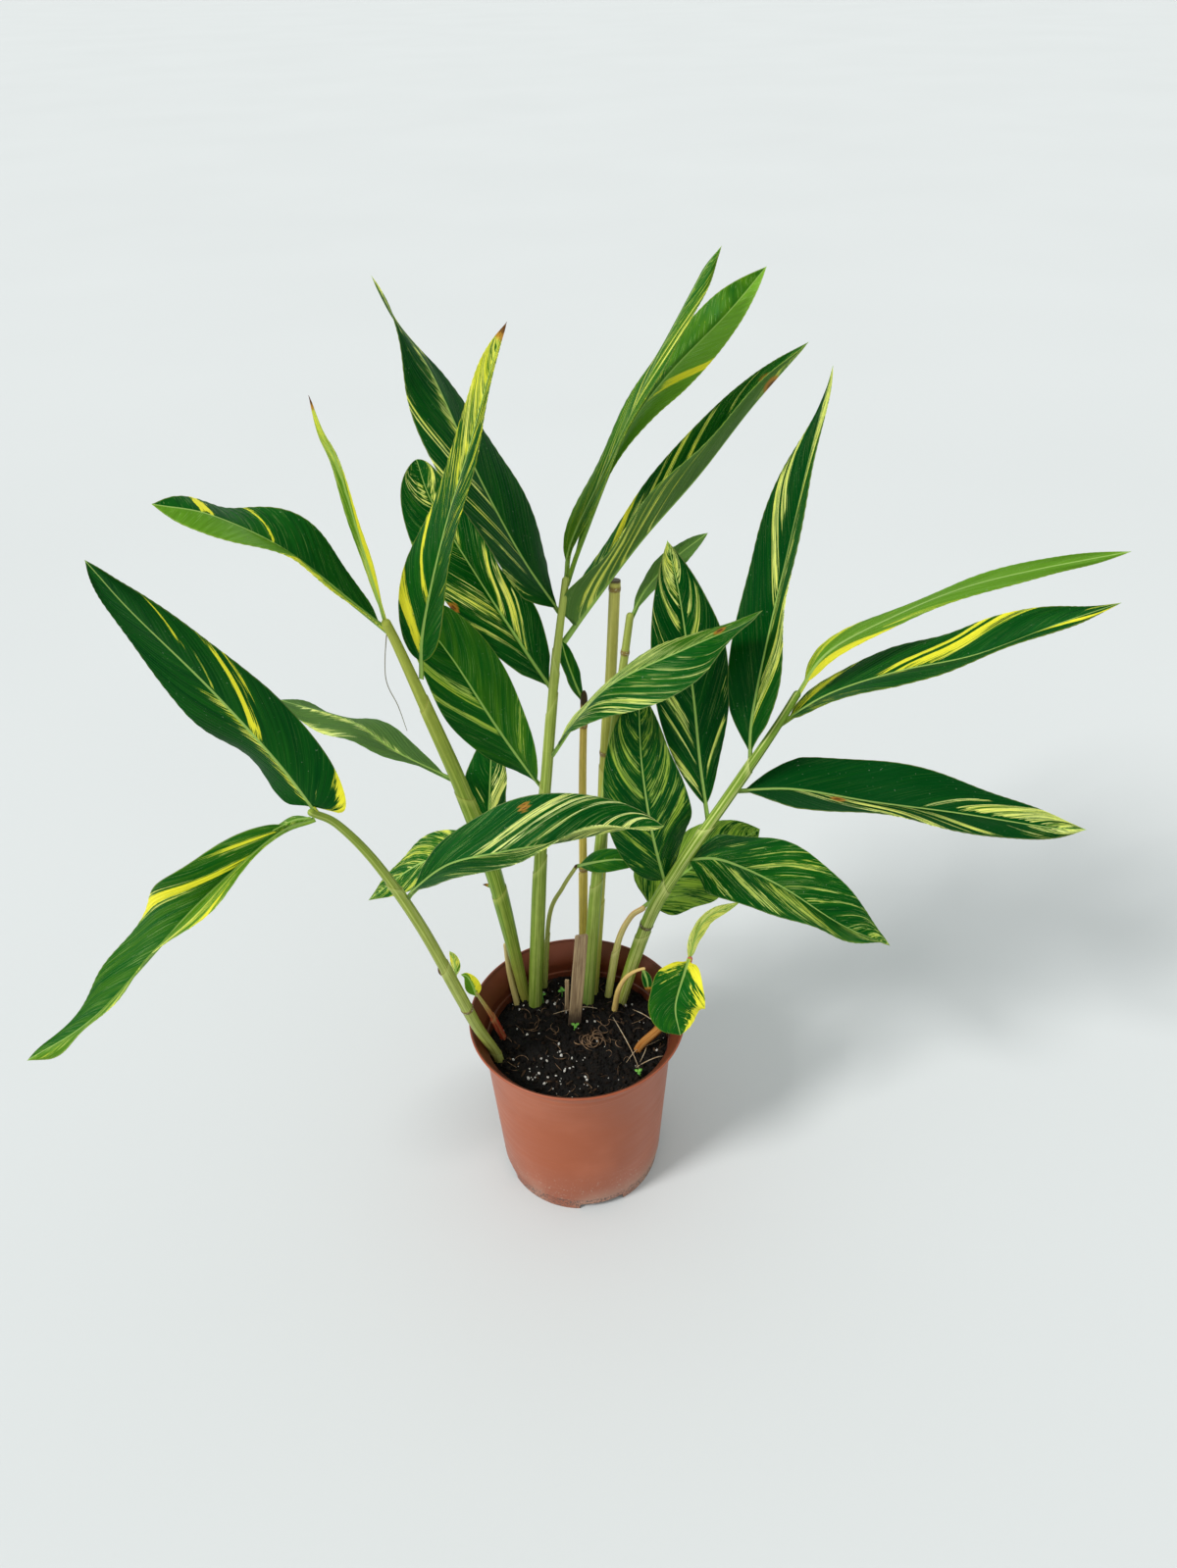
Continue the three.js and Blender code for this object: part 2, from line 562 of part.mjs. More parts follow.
function potGeometry() {
  const inner = (z) => wallRadius(z) - WALL;
  const outside = [
    [0, 0], [HUB_RADIUS - 4, 0], [HUB_RADIUS, 1], [HUB_RADIUS + 1.5, FLOOR_UNDERSIDE],
    [BASE_RADIUS - WALL - 0.6, FLOOR_UNDERSIDE], [BASE_RADIUS - WALL, 0], [BASE_RADIUS, 0],
    [BASE_RADIUS + 0.9, BASE_STEP_HEIGHT - 2], [BODY_FOOT_RADIUS, BASE_STEP_HEIGHT],
    [SHOULDER_RADIUS, SHOULDER_HEIGHT], ...flare(0),
  ];
  const rim = [
    [RIM_RADIUS, POT_HEIGHT - 0.5], [RIM_RADIUS - 0.9, POT_HEIGHT], [RIM_RADIUS - 2.2, POT_HEIGHT - 0.4],
  ];
  const inside = [
    ...flare(WALL + 0.4).reverse(), [SHOULDER_RADIUS - WALL, SHOULDER_HEIGHT],
    [inner(LEDGE_HEIGHT), LEDGE_HEIGHT], [inner(LEDGE_HEIGHT) - LEDGE_STEP, LEDGE_HEIGHT - 0.6],
    [inner(BASE_STEP_HEIGHT) - 0.4, BASE_STEP_HEIGHT], [inner(BASE_STEP_HEIGHT) - 2.4, FLOOR_TOP],
    [HUB_RADIUS - 0.6, FLOOR_TOP], [HUB_RADIUS - 4, 2], [0, 2],
  ];
  let pot = toSolid(lathe([...outside, ...rim, ...inside], POT_SEGMENTS));
  for (let i = 0; i < DRAIN_HOLES; i += 1) {
    const angle = 2 * Math.PI * (i + 0.5) / DRAIN_HOLES;
    const hole = new THREE.CylinderGeometry(DRAIN_RADIUS, DRAIN_RADIUS, 8, 10);
    hole.rotateX(Math.PI / 2);
    hole.translate(DRAIN_CIRCLE * Math.cos(angle), DRAIN_CIRCLE * Math.sin(angle), FLOOR_TOP - 1);
    pot = pot.subtract(toSolid(hole));
  }
  for (let i = 0; i < NOTCHES; i += 1) {
    const notch = new THREE.BoxGeometry(20, NOTCH_WIDTH, 2 * NOTCH_HEIGHT);
    notch.translate(BASE_RADIUS + 2, 0, 0);
    notch.rotateZ(FRONT_NOTCH_ANGLE + 2 * Math.PI * i / NOTCHES);
    pot = pot.subtract(toSolid(notch));
  }
  return pot;
}

// Soil and rhizome

// Height of the soil at a place: a low mound round the stems, with lumps.
function soilHeight(x, y) {
  const mound = SOIL_MOUND * Math.exp(-((x / 60) ** 2 + ((y - 45) / 38) ** 2));
  const lumps = Math.sin(x / 6.1 + 1.3) * Math.cos(y / 7.3) + 0.6 * Math.sin((x + 2 * y) / 9.7);
  return SOIL_LEVEL + mound + SOIL_ROUGHNESS * lumps;
}

function soilGeometry() {
  const side = (z) => wallRadius(z) - WALL - LEDGE_STEP - SEAT;
  const profile = [
    [0, 2 + SEAT], [HUB_RADIUS - 4.4, 2 + SEAT], [HUB_RADIUS - 1, FLOOR_TOP + SEAT],
    [BODY_FOOT_RADIUS - WALL - 3.2, FLOOR_TOP + SEAT], [side(BASE_STEP_HEIGHT) - 0.6, BASE_STEP_HEIGHT + 1],
    [side(SOIL_LEVEL), SOIL_LEVEL], [62, SOIL_LEVEL], [54, SOIL_LEVEL], [44, SOIL_LEVEL],
    [33, SOIL_LEVEL], [22, SOIL_LEVEL], [11, SOIL_LEVEL], [0, SOIL_LEVEL],
  ];
  const geometry = lathe(profile, SOIL_SEGMENTS);
  const position = geometry.attributes.position;
  for (let i = 0; i < position.count; i += 1) {
    if (position.getZ(i) > SOIL_LEVEL - 0.01) {
      position.setZ(i, soilHeight(position.getX(i), position.getY(i)));
    }
  }
  return toSolid(geometry);
}

// Runs of the rhizome just under the soil, from one group of stems to the next, in joined knuckles.
const RHIZOME_RUNS = [
  [[-58, -17, 103], [-60, -3, 105], [-54, 14, 104], [-46, 30, 103], [-38, 46, 104]],
  [[-44, 47, 104], [-30, 49, 103], [-12, 50, 105], [6, 49, 103], [22, 46, 104], [36, 39, 104]],
  [[34, 42, 104], [40, 28, 103], [44, 10, 104], [44, -13, 104]],
];
const RHIZOME_RADII = [4, 9, 7.5, 9.5, 7.6, 9, 4];

function rhizomeSolid(grow) {
  return RHIZOME_RUNS
    .map((path) => toSolid(stemGeometry({ path, radii: RHIZOME_RADII, joints: [] }, grow)))
    .reduce((whole, run) => whole.add(run));
}

// Slats

function slatGeometry({ foot, top, width, thickness, turn }, grow = 0) {
  const from = vec(foot);
  const axis = vec(top).sub(from);
  const slat = new THREE.BoxGeometry(width + 2 * grow, thickness + 2 * grow, axis.length() + grow);
  slat.rotateZ(rad(turn));
  const upright = new THREE.Vector3(0, 0, 1);
  slat.applyQuaternion(new THREE.Quaternion().setFromUnitVectors(upright, axis.clone().normalize()));
  slat.translate(...from.addScaledVector(axis, 0.5).toArray());
  return slat;
}

const SLATS = {
  slat: { foot: [-6, 14, 96], top: [6, 24, 224], width: 10.5, thickness: 2.4, turn: 12 },
  slat_small: { foot: [-9, 30, 108], top: [-7, 34, 166], width: 3.4, thickness: 1.8, turn: -8 },
};

// Assembly

const group = new THREE.Group();

function addNode(name, solid, material) {
  const mesh = new THREE.Mesh(toGeometry(largestPiece(solid)), material);
  mesh.name = name;
  group.add(mesh);
}

const cutAll = (solid, cutters) => cutters.reduce((rest, cutter) => rest.subtract(cutter), solid);

const rhizome = rhizomeSolid(0);
const grownRhizome = rhizomeSolid(SEAT);
const grownStem = (name) => toSolid(stemGeometry(STEMS[name], SEAT));
const grownLeaf = (name) => toSolid(leafGeometry(LEAVES[name], SEAT));

const slatCutters = Object.values(SLATS).map((slat) => toSolid(slatGeometry(slat, SEAT)));
const soilCutters = [grownRhizome, ...Object.keys(STEMS).map(grownStem), ...slatCutters];

addNode('pot', potGeometry(), FINISH.plastic);
addNode('soil', cutAll(soilGeometry(), soilCutters), FINISH.soil);
addNode('rhizome', rhizome, FINISH.rhizome);

for (const [name, slat] of Object.entries(SLATS)) {
  addNode(name, toSolid(slatGeometry(slat)), FINISH.wood);
}

for (const [name, stem] of Object.entries(STEMS)) {
  addNode(name, toSolid(stemGeometry(stem)).subtract(grownRhizome), FINISH[stem.finish]);
}

for (const [name, leaf] of Object.entries(LEAVES)) {
  const cutters = [grownStem(leaf.stem), ...(leaf.clear ?? []).map(grownLeaf)];
  addNode(name, cutAll(toSolid(leafGeometry(leaf)), cutters), FINISH[leaf.finish ?? 'blade']);
}

export default group;
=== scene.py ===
"""Potted variegated shell ginger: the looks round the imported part, in metres, +Z up, +Y at the back."""

import logging
from dataclasses import dataclass, field
from enum import Enum
from typing import ClassVar

import bpy
import numpy as np
from mathutils import Matrix


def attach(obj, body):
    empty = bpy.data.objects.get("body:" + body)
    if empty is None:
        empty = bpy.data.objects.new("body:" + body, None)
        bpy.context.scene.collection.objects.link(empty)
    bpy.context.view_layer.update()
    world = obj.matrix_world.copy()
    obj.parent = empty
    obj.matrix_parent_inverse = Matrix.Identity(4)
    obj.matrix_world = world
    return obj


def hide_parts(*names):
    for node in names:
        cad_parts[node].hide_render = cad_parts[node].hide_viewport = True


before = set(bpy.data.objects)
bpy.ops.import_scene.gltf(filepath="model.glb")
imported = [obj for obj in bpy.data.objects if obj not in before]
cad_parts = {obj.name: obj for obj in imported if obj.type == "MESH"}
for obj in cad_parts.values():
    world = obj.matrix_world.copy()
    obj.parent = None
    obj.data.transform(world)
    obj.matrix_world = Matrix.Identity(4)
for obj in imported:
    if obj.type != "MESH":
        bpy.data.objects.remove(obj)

LOG = logging.getLogger("shell_ginger")
MM = 0.001
SUNWARD = np.array([0.0, -0.7, 0.714]) / np.linalg.norm([0.0, -0.7, 0.714])

Array = np.ndarray
Colour = tuple[float, float, float]
Point = tuple[float, float, float]
Object = bpy.types.Object
Material = bpy.types.Material
Socket = bpy.types.NodeSocket
Feed = float | tuple | Socket


class Side(Enum):
    """Half of a blade, seen from its stalk towards its tip."""

    LEFT = -1
    RIGHT = 1


class Tissue(Enum):
    """Colour of a streak that has lost its green."""

    CREAM = "cream"
    YELLOW = "yellow"


class Face(Enum):
    """The two faces of a blade."""

    UPPER = "upper"
    UNDER = "under"


# Curves


def knots(values: tuple[float, ...], share: Array) -> Array:
    """Value at each share of a list of evenly spaced values.

    Formula: a cubic through the two nearest values, whose slope at a value is half the difference
    of its neighbours; the first and last value stand for their own missing neighbours.

    Args:
        values: the values, from share 0 to share 1.
        share: places from 0 to 1.

    Returns:
        One value for each share.
    """
    held = np.asarray(values, float)
    if len(held) == 1:
        return np.full(np.shape(share), held[0])
    place = np.clip(share, 0, 1) * (len(held) - 1)
    low = np.minimum(place.astype(int), len(held) - 2)
    w = place - low
    before, after = np.maximum(low - 1, 0), np.minimum(low + 2, len(held) - 1)
    p1, p2 = held[low], held[low + 1]
    m1, m2 = (p2 - held[before]) / 2, (held[after] - p1) / 2
    return (2 * p1 - 2 * p2 + m1 + m2) * w**3 + (3 * p2 - 3 * p1 - 2 * m1 - m2) * w**2 + m1 * w + p1


def smooth(value: Array, low: float, high: float) -> Array:
    """Rise from 0 at low to 1 at high, as 3 w squared minus 2 w cubed."""
    w = np.clip((value - low) / (high - low), 0, 1)
    return w * w * (3 - 2 * w)


class Curve:
    """Smooth curve through points in millimetres, walked at an even pace.

    Formula: between two points a cubic whose slopes are half the difference of the neighbouring
    points, with the end points mirrored for the missing ones, then re-spaced by arc length.
    """

    FINE: ClassVar[int] = 600

    def __init__(self, points: tuple[Point, ...] | Array) -> None:
        """Keep the points and measure the curve.

        Args:
            points: points that it runs through, in millimetres.
        """
        held = np.asarray(points, float)
        self.held = np.vstack([2 * held[0] - held[1], held, 2 * held[-1] - held[-2]])
        self.pace = np.linspace(0, 1, self.FINE)
        steps = np.linalg.norm(np.diff(self._cubic(self.pace)[0], axis=0), axis=1)
        self.walked = np.concatenate([[0.0], np.cumsum(steps)])
        self.length = float(self.walked[-1])

    def _cubic(self, pace: Array) -> tuple[Array, Array]:
        """Points and slopes of the curve before it is re-spaced.

        Args:
            pace: shares of the control points' own pace.

        Returns:
            Points and slopes, one row for each share.
        """
        place = np.clip(pace, 0, 1) * (len(self.held) - 3)
        low = np.minimum(place.astype(int), len(self.held) - 4)
        w = (place - low)[:, None]
        p0, p1, p2, p3 = (self.held[low + k] for k in range(4))
        m1, m2 = (p2 - p0) / 2, (p3 - p1) / 2
        a, b = 2 * p1 - 2 * p2 + m1 + m2, 3 * p2 - 3 * p1 - 2 * m1 - m2
        return a * w**3 + b * w**2 + m1 * w + p1, 3 * a * w**2 + 2 * b * w + m1

    def frame(self, share: Array) -> tuple[Array, Array, Array, Array]:
        """Frames along the curve.

        Args:
            share: shares of the length, from 0 to 1.

        Returns:
            Points, directions ahead, sunward sides and right-hand sides, one row for each share.
        """
        pace = np.interp(np.clip(share, 0, 1) * self.length, self.walked, self.pace)
        at, ahead = self._cubic(pace)
        ahead /= np.linalg.norm(ahead, axis=1, keepdims=True)
        up = SUNWARD - (ahead @ SUNWARD)[:, None] * ahead
        up /= np.linalg.norm(up, axis=1, keepdims=True)
        return at, ahead, up, np.cross(ahead, up)


def ripple(places: Array, reach: float, seed: int) -> Array:
    """Smooth random heights, near -1 to 1.

    Formula: the sum of 24 plane sine waves in seeded random directions, with wave lengths spread
    round the reach, over the root of their number.

    Args:
        places: points, one row each.
        reach: usual wave length, in the unit of the points.
        seed: start of the random numbers.

    Returns:
        One height for each point.
    """
    waves = 24
    rng = np.random.default_rng(seed)
    ways = rng.normal(size=(places.shape[1], waves))
    ways /= np.linalg.norm(ways, axis=0)
    ways *= 2 * np.pi / (reach * rng.uniform(0.6, 1.7, waves))
    return np.sin(places @ ways + rng.uniform(0, 2 * np.pi, waves)).sum(1) / np.sqrt(waves)


# Meshes


@dataclass
class Shape:
    """Vertices in millimetres, faces as rows of four indices, and values for each vertex."""

    points: Array
    faces: Array
    values: dict[str, Array] = field(default_factory=dict)
    slots: Array | None = None

    def volume(self) -> float:
        """Signed volume: a sixth of the sum of the triple products of each face's two triangles."""
        a, b, c, d = (self.points[self.faces[:, k]] for k in range(4))
        return float((np.cross(a, b) * c).sum() + (np.cross(a, c) * d).sum()) / 6

    def facing_out(self) -> "Shape":
        """The same shape, with its faces turned round if they look inwards."""
        self.faces = self.faces[:, ::-1] if self.volume() < 0 else self.faces
        return self

    def piece(self, name: str, materials: list[Material], crease: float = 50) -> Object:
        """Blender object of the shape.

        Args:
            name: name of the piece.
            materials: one for each slot.
            crease: angle in degrees above which an edge stays sharp.

        Returns:
            The object, linked to the scene.
        """
        mesh = bpy.data.meshes.new(name)
        corners = self.faces.copy()
        corners[:, 3] = np.where(corners[:, 3] == corners[:, 2], -1, corners[:, 3])
        rows = [row if row[3] >= 0 else row[:3] for row in corners.tolist()]
        mesh.from_pydata((self.points * MM).tolist(), [], rows)
        for value_name, value in self.values.items():
            keep_value(mesh, value_name, value)
        for material in materials:
            mesh.materials.append(material)
        if self.slots is not None:
            mesh.polygons.foreach_set("material_index", self.slots.astype(np.int32))
        mesh.polygons.foreach_set("use_smooth", np.ones(len(rows), bool))
        mesh.update(calc_edges=True)
        mesh.set_sharp_from_angle(angle=np.radians(crease))
        return placed(name, mesh)


def placed(name: str, data: bpy.types.ID) -> Object:
    """New object of a mesh, light or camera, linked to the scene.

    Args:
        name: name of the object.
        data: what it shows.

    Returns:
        The object, at the origin.
    """
    made = bpy.data.objects.new(name, data)
    bpy.context.scene.collection.objects.link(made)
    return made


def keep_value(mesh: bpy.types.Mesh, name: str, value: Array) -> None:
    """Keep three numbers for each vertex in a mesh, under a name that its material reads."""
    layer = mesh.attributes.new(name, "FLOAT_VECTOR", "POINT")
    layer.data.foreach_set("vector", value.astype(np.float32).ravel())


def joined(shapes: list[Shape]) -> Shape:
    """One shape of the points and faces of several.

    Args:
        shapes: the shapes, whose values and slots are left out.

    Returns:
        The shape.
    """
    shifts = np.cumsum([0] + [len(s.points) for s in shapes[:-1]])
    faces = np.vstack([s.faces + shift for s, shift in zip(shapes, shifts)])
    return Shape(np.vstack([s.points for s in shapes]), faces)


def circle(count: int) -> Array:
    """Evenly spaced angles of a full turn, in radians."""
    return np.linspace(0, 2 * np.pi, count, endpoint=False)


def ring_faces(rows: int, size: int) -> Array:
    """Quads between rings, and a cap of quads over the first and the last ring.

    Formula: point k of ring i has the index i times the ring's size plus k. A cap joins point k to
    the point opposite in the ring, counted back from its end.

    Args:
        rows: number of rings.
        size: points in a ring, an even number.

    Returns:
        Rows of four indices.
    """
    i, k = np.meshgrid(np.arange(rows - 1), np.arange(size), indexing="ij")
    nxt = (k + 1) % size
    sides = np.stack([i * size + k, i * size + nxt, (i + 1) * size + nxt, (i + 1) * size + k], -1)
    k = np.arange(size // 2 - 1)
    cap = np.stack([k, size - 1 - k, size - 2 - k, k + 1], -1)
    last = (rows - 1) * size
    return np.vstack([sides.reshape(-1, 4), cap, cap[:, ::-1] + last])


def rings_shape(rings: Array, values: dict[str, Array] | None = None) -> Shape:
    """Closed shape through rings, with its faces outwards.

    Args:
        rings: points as rings by points by 3.
        values: three numbers for each point under each name, as rings by points by 3.

    Returns:
        The shape.
    """
    rows, size = rings.shape[:2]
    flat = {k: v.reshape(rows * size, *v.shape[2:]) for k, v in (values or {}).items()}
    return Shape(rings.reshape(-1, 3), ring_faces(rows, size), flat).facing_out()


def tube(points: Array, radii: tuple[float, ...], rows: int, size: int = 6) -> Shape:
    """Closed tube along a smooth curve.

    Formula: ring points lie at the radius times cosine and sine of evenly spaced angles, in the
    plane of the curve's sunward and right-hand sides; the radius shrinks to a point at both ends.

    Args:
        points: points of the curve.
        radii: radii, spread evenly along it.
        rows: number of rings.
        size: points in a ring, an even number.

    Returns:
        The tube.
    """
    share = (1 - np.cos(np.linspace(0, np.pi, rows))) / 2
    at, _, up, right = Curve(points).frame(share)
    radius = knots(radii, share) * np.sqrt(np.clip(1 - (2 * share - 1) ** 16, 0.01, 1))
    angle = circle(size)[None, :, None]
    out = right[:, None] * np.cos(angle) + up[:, None] * np.sin(angle)
    return rings_shape(at[:, None] + out * radius[:, None, None])


def scattered(base: Shape, places: Array, sizes: Array, seed: int, rough: float) -> Shape:
    """Many turned and dented copies of a small shape.

    Formula: each copy is the base times its three sizes, with each point moved along its own
    direction by a random share, turned by a random rotation, and moved to its place.

    Args:
        base: shape of about unit radius.
        places: centres, one row each.
        sizes: three half sizes for each place.
        seed: start of the random numbers.
        rough: largest share of a dent.

    Returns:
        All copies as one shape, with a value "grain" of two random numbers and the size.
    """
    rng = np.random.default_rng(seed)
    count, size = len(places), len(base.points)
    dents = 1 + rough * rng.uniform(-1, 1, (count, size, 1))
    quat = rng.normal(size=(count, 4))
    w, x, y, z = (quat / np.linalg.norm(quat, axis=1, keepdims=True)).T
    turn = np.stack([
        1 - 2 * (y * y + z * z), 2 * (x * y - w * z), 2 * (x * z + w * y),
        2 * (x * y + w * z), 1 - 2 * (x * x + z * z), 2 * (y * z - w * x),
        2 * (x * z - w * y), 2 * (y * z + w * x), 1 - 2 * (x * x + y * y),
    ], -1).reshape(count, 3, 3)
    local = base.points[None] * dents * sizes[:, None]
    points = np.einsum("nij,nkj->nki", turn, local) + places[:, None]
    faces = base.faces[None] + (np.arange(count) * size)[:, None, None]
    grain = np.column_stack([rng.random((count, 2)), sizes.mean(1)])
    return Shape(points.reshape(-1, 3), faces.reshape(-1, 4), {"grain": np.repeat(grain, size, axis=0)})


def ball() -> Shape:
    """Unit ball of 24 side faces and 6 cap faces.

    Formula: four rings of eight points at latitudes of 72 and 30 degrees, with radius the cosine
    and height the sine of the latitude.

    Returns:
        The ball.
    """
    tilt, angle = np.radians([-72, -30, 30, 72])[:, None], circle(8)
    wide, high = np.cos(tilt), np.repeat(np.sin(tilt), 8, axis=1)
    return rings_shape(np.stack([wide * np.cos(angle), wide * np.sin(angle), high], -1))


# Material nodes


class Graph:
    """Node tree of one material, with short calls for the nodes that the finishes use."""

    def __init__(self, name: str) -> None:
        """Make the material and empty its tree.

        Args:
            name: name of the material.
        """
        self.material = bpy.data.materials.new(name)
        self.material.use_nodes = True
        self.tree = self.material.node_tree
        self.tree.nodes.clear()

    def node(self, kind: str, feeds: dict[int | str, Feed], **settings: object) -> bpy.types.Node:
        """New node.

        Args:
            kind: Blender's name for the node.
            feeds: a number, colour or socket for each input that isn't left as it is.
            settings: values for the node's own settings.

        Returns:
            The node.
        """
        made = self.tree.nodes.new(kind)
        for key, value in settings.items():
            setattr(made, key, value)
        for key, value in feeds.items():
            socket = made.inputs[key]
            if isinstance(value, Socket):
                self.tree.links.new(value, socket)
            elif isinstance(value, tuple) and socket.type == "RGBA":
                socket.default_value = (*value, 1.0)
            else:
                socket.default_value = value
        return made

    def math(self, operation: str, a: Feed, b: Feed = 0.0, c: Feed = 0.0) -> Socket:
        """One sum of up to three numbers."""
        return self.node("ShaderNodeMath", {0: a, 1: b, 2: c}, operation=operation).outputs[0]

    def add(self, a: Feed, b: Feed) -> Socket:
        """a plus b."""
        return self.math("ADD", a, b)

    def times(self, a: Feed, b: Feed) -> Socket:
        """a times b."""
        return self.math("MULTIPLY", a, b)

    def plus_times(self, a: Feed, b: Feed, c: Feed) -> Socket:
        """a times b, plus c."""
        return self.math("MULTIPLY_ADD", a, b, c)

    def smooth(self, value: Feed, low: Feed, high: Feed, top: float = 1.0) -> Socket:
        """Smooth rise from 0 at low to top at high."""
        feeds = {0: value, 1: low, 2: high, 3: 0.0, 4: top}
        return self.node("ShaderNodeMapRange", feeds, interpolation_type="SMOOTHSTEP").outputs[0]

    def mix(self, share: Feed, a: Feed, b: Feed) -> Socket:
        """Colour a at share 0, colour b at share 1."""
        feeds = {0: share, 6: a, 7: b}
        return self.node("ShaderNodeMix", feeds, data_type="RGBA", clamp_factor=True).outputs[2]

    def shade(self, colour: Feed, factor: Feed) -> Socket:
        """Colour times a number."""
        feeds = {0: 1.0, 6: colour, 7: self.vector(factor, factor, factor)}
        return self.node("ShaderNodeMix", feeds, data_type="RGBA", blend_type="MULTIPLY").outputs[2]

    def value(self, name: str) -> tuple[Socket, Socket, Socket]:
        """The three numbers that a mesh keeps under a name."""
        made = self.node("ShaderNodeAttribute", {}, attribute_name=name)
        return tuple(self.node("ShaderNodeSeparateXYZ", {0: made.outputs["Vector"]}).outputs)

    def vector(self, x: Feed, y: Feed, z: Feed) -> Socket:
        """Vector of three numbers."""
        return self.node("ShaderNodeCombineXYZ", {0: x, 1: y, 2: z}).outputs[0]

    def place(self) -> Socket:
        """Object coordinates, in metres."""
        return self.node("ShaderNodeTexCoord", {}).outputs["Object"]

    def noise(
        self, vector: Socket, scale: Point | float, detail: float = 2, rough: float = 0.5
    ) -> Socket:
        """Noise from 0 to 1, mostly near 0.5.

        Args:
            vector: coordinates.
            scale: waves for each unit, the same or one for each axis.
            detail: octaves.
            rough: strength of the finer octaves.

        Returns:
            The noise's value.
        """
        if isinstance(scale, tuple):
            feeds = {0: vector, 1: scale}
            vector = self.node("ShaderNodeVectorMath", feeds, operation="MULTIPLY").outputs[0]
            scale = 1.0
        feeds = {"Vector": vector, "Scale": scale, "Detail": detail, "Roughness": rough}
        return self.node("ShaderNodeTexNoise", feeds).outputs[0]

    def bump(self, height: Socket, strength: float, distance: float) -> Socket:
        """Normal from a height map whose 0 to 1 is a distance in metres."""
        feeds = {"Height": height, "Strength": strength, "Distance": distance}
        return self.node("ShaderNodeBump", feeds).outputs[0]

    def surface(
        self, colour: Feed, roughness: Feed, normal: Socket | None = None, through: Feed = 0.0,
        glow: Feed | None = None, **same: Feed,
    ) -> Material:
        """End of the tree: a Principled shader, with light through the surface if asked for.

        Args:
            colour: base colour.
            roughness: roughness.
            normal: bumped normal.
            through: share of the light that passes through a thin surface.
            glow: colour of that light.
            same: other inputs, by name with underscores, the same all over.

        Returns:
            The material.
        """
        feeds = {"Base Color": colour, "Roughness": roughness}
        feeds |= {key.replace("_", " "): value for key, value in same.items()}
        if normal is not None:
            feeds["Normal"] = normal
        shader = self.node("ShaderNodeBsdfPrincipled", feeds).outputs[0]
        if glow is not None:
            passed = self.node("ShaderNodeBsdfTranslucent", {0: glow}).outputs[0]
            shader = self.node("ShaderNodeMixShader", {0: through, 1: shader, 2: passed}).outputs[0]
        self.node("ShaderNodeOutputMaterial", {0: shader})
        return self.material


def settle(piece: Object, nodes: tuple[str, ...] = ()) -> Object:
    """Let a piece ride on the plant's one body and stand for its solids.

    Args:
        piece: the finished object.
        nodes: the solids that it stands for.

    Returns:
        The piece.
    """
    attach(piece, "root")
    if nodes:
        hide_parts(*nodes)
    LOG.info("%s: %d faces", piece.name, len(piece.data.polygons))
    return piece


# Leaves


@dataclass(frozen=True)
class Band:
    """Coloured sector of a blade that follows the veins.

    low and high are shares of the midrib between which its veins leave, and start and end are shares
    of the way to the edge. fill goes from a few streaks to 1, a solid band.
    """

    side: Side
    low: float
    high: float
    start: float = -0.5
    end: float = 1.5
    fill: float = 1.0
    tissue: Tissue = Tissue.CREAM


def cream(side: Side, *rows: tuple[float, ...]) -> tuple[Band, ...]:
    """Cream bands of one half, each from a row of low, high, start, end and fill."""
    return tuple(Band(side, *row) for row in rows)


def yellow(side: Side, *rows: tuple[float, ...]) -> tuple[Band, ...]:
    """Yellow bands of one half, from rows of the same numbers."""
    return tuple(Band(side, *row, tissue=Tissue.YELLOW) for row in rows)


@dataclass(frozen=True)
class Spot:
    """Dry spot: its side, its shares along the midrib and to the edge, and its radius in mm."""

    side: Side
    along: float
    out: float
    radius: float


@dataclass(frozen=True)
class Look:
    """Markings of one leaf.

    tone goes from 0, dark green, over 1, light green, to 2, lime. yellow is how yellow the pale
    tissue is. left and right are how streaked each half is at even steps from base to tip. pins is
    the amount of hair-thin pale lines, margin the strength of the pale edge line, lime how green
    the pale tissue stays, paler how much lighter the left half is painted than the right, a painted
    light on that half (a painted shade where it is negative), dry the length in mm of a dry tip,
    and shown the face that the sunward side has.
    """

    tone: float = 0.25
    yellow: float = 0.4
    left: tuple[float, ...] = (0.0,)
    right: tuple[float, ...] = (0.0,)
    pins: float = 0.4
    margin: float = 0.4
    lime: float = 0.0
    painted_light_left: float = 0.0
    dry: float = 0.0
    bands: tuple[Band, ...] = ()
    spots: tuple[Spot, ...] = ()
    shown: Face = Face.UPPER


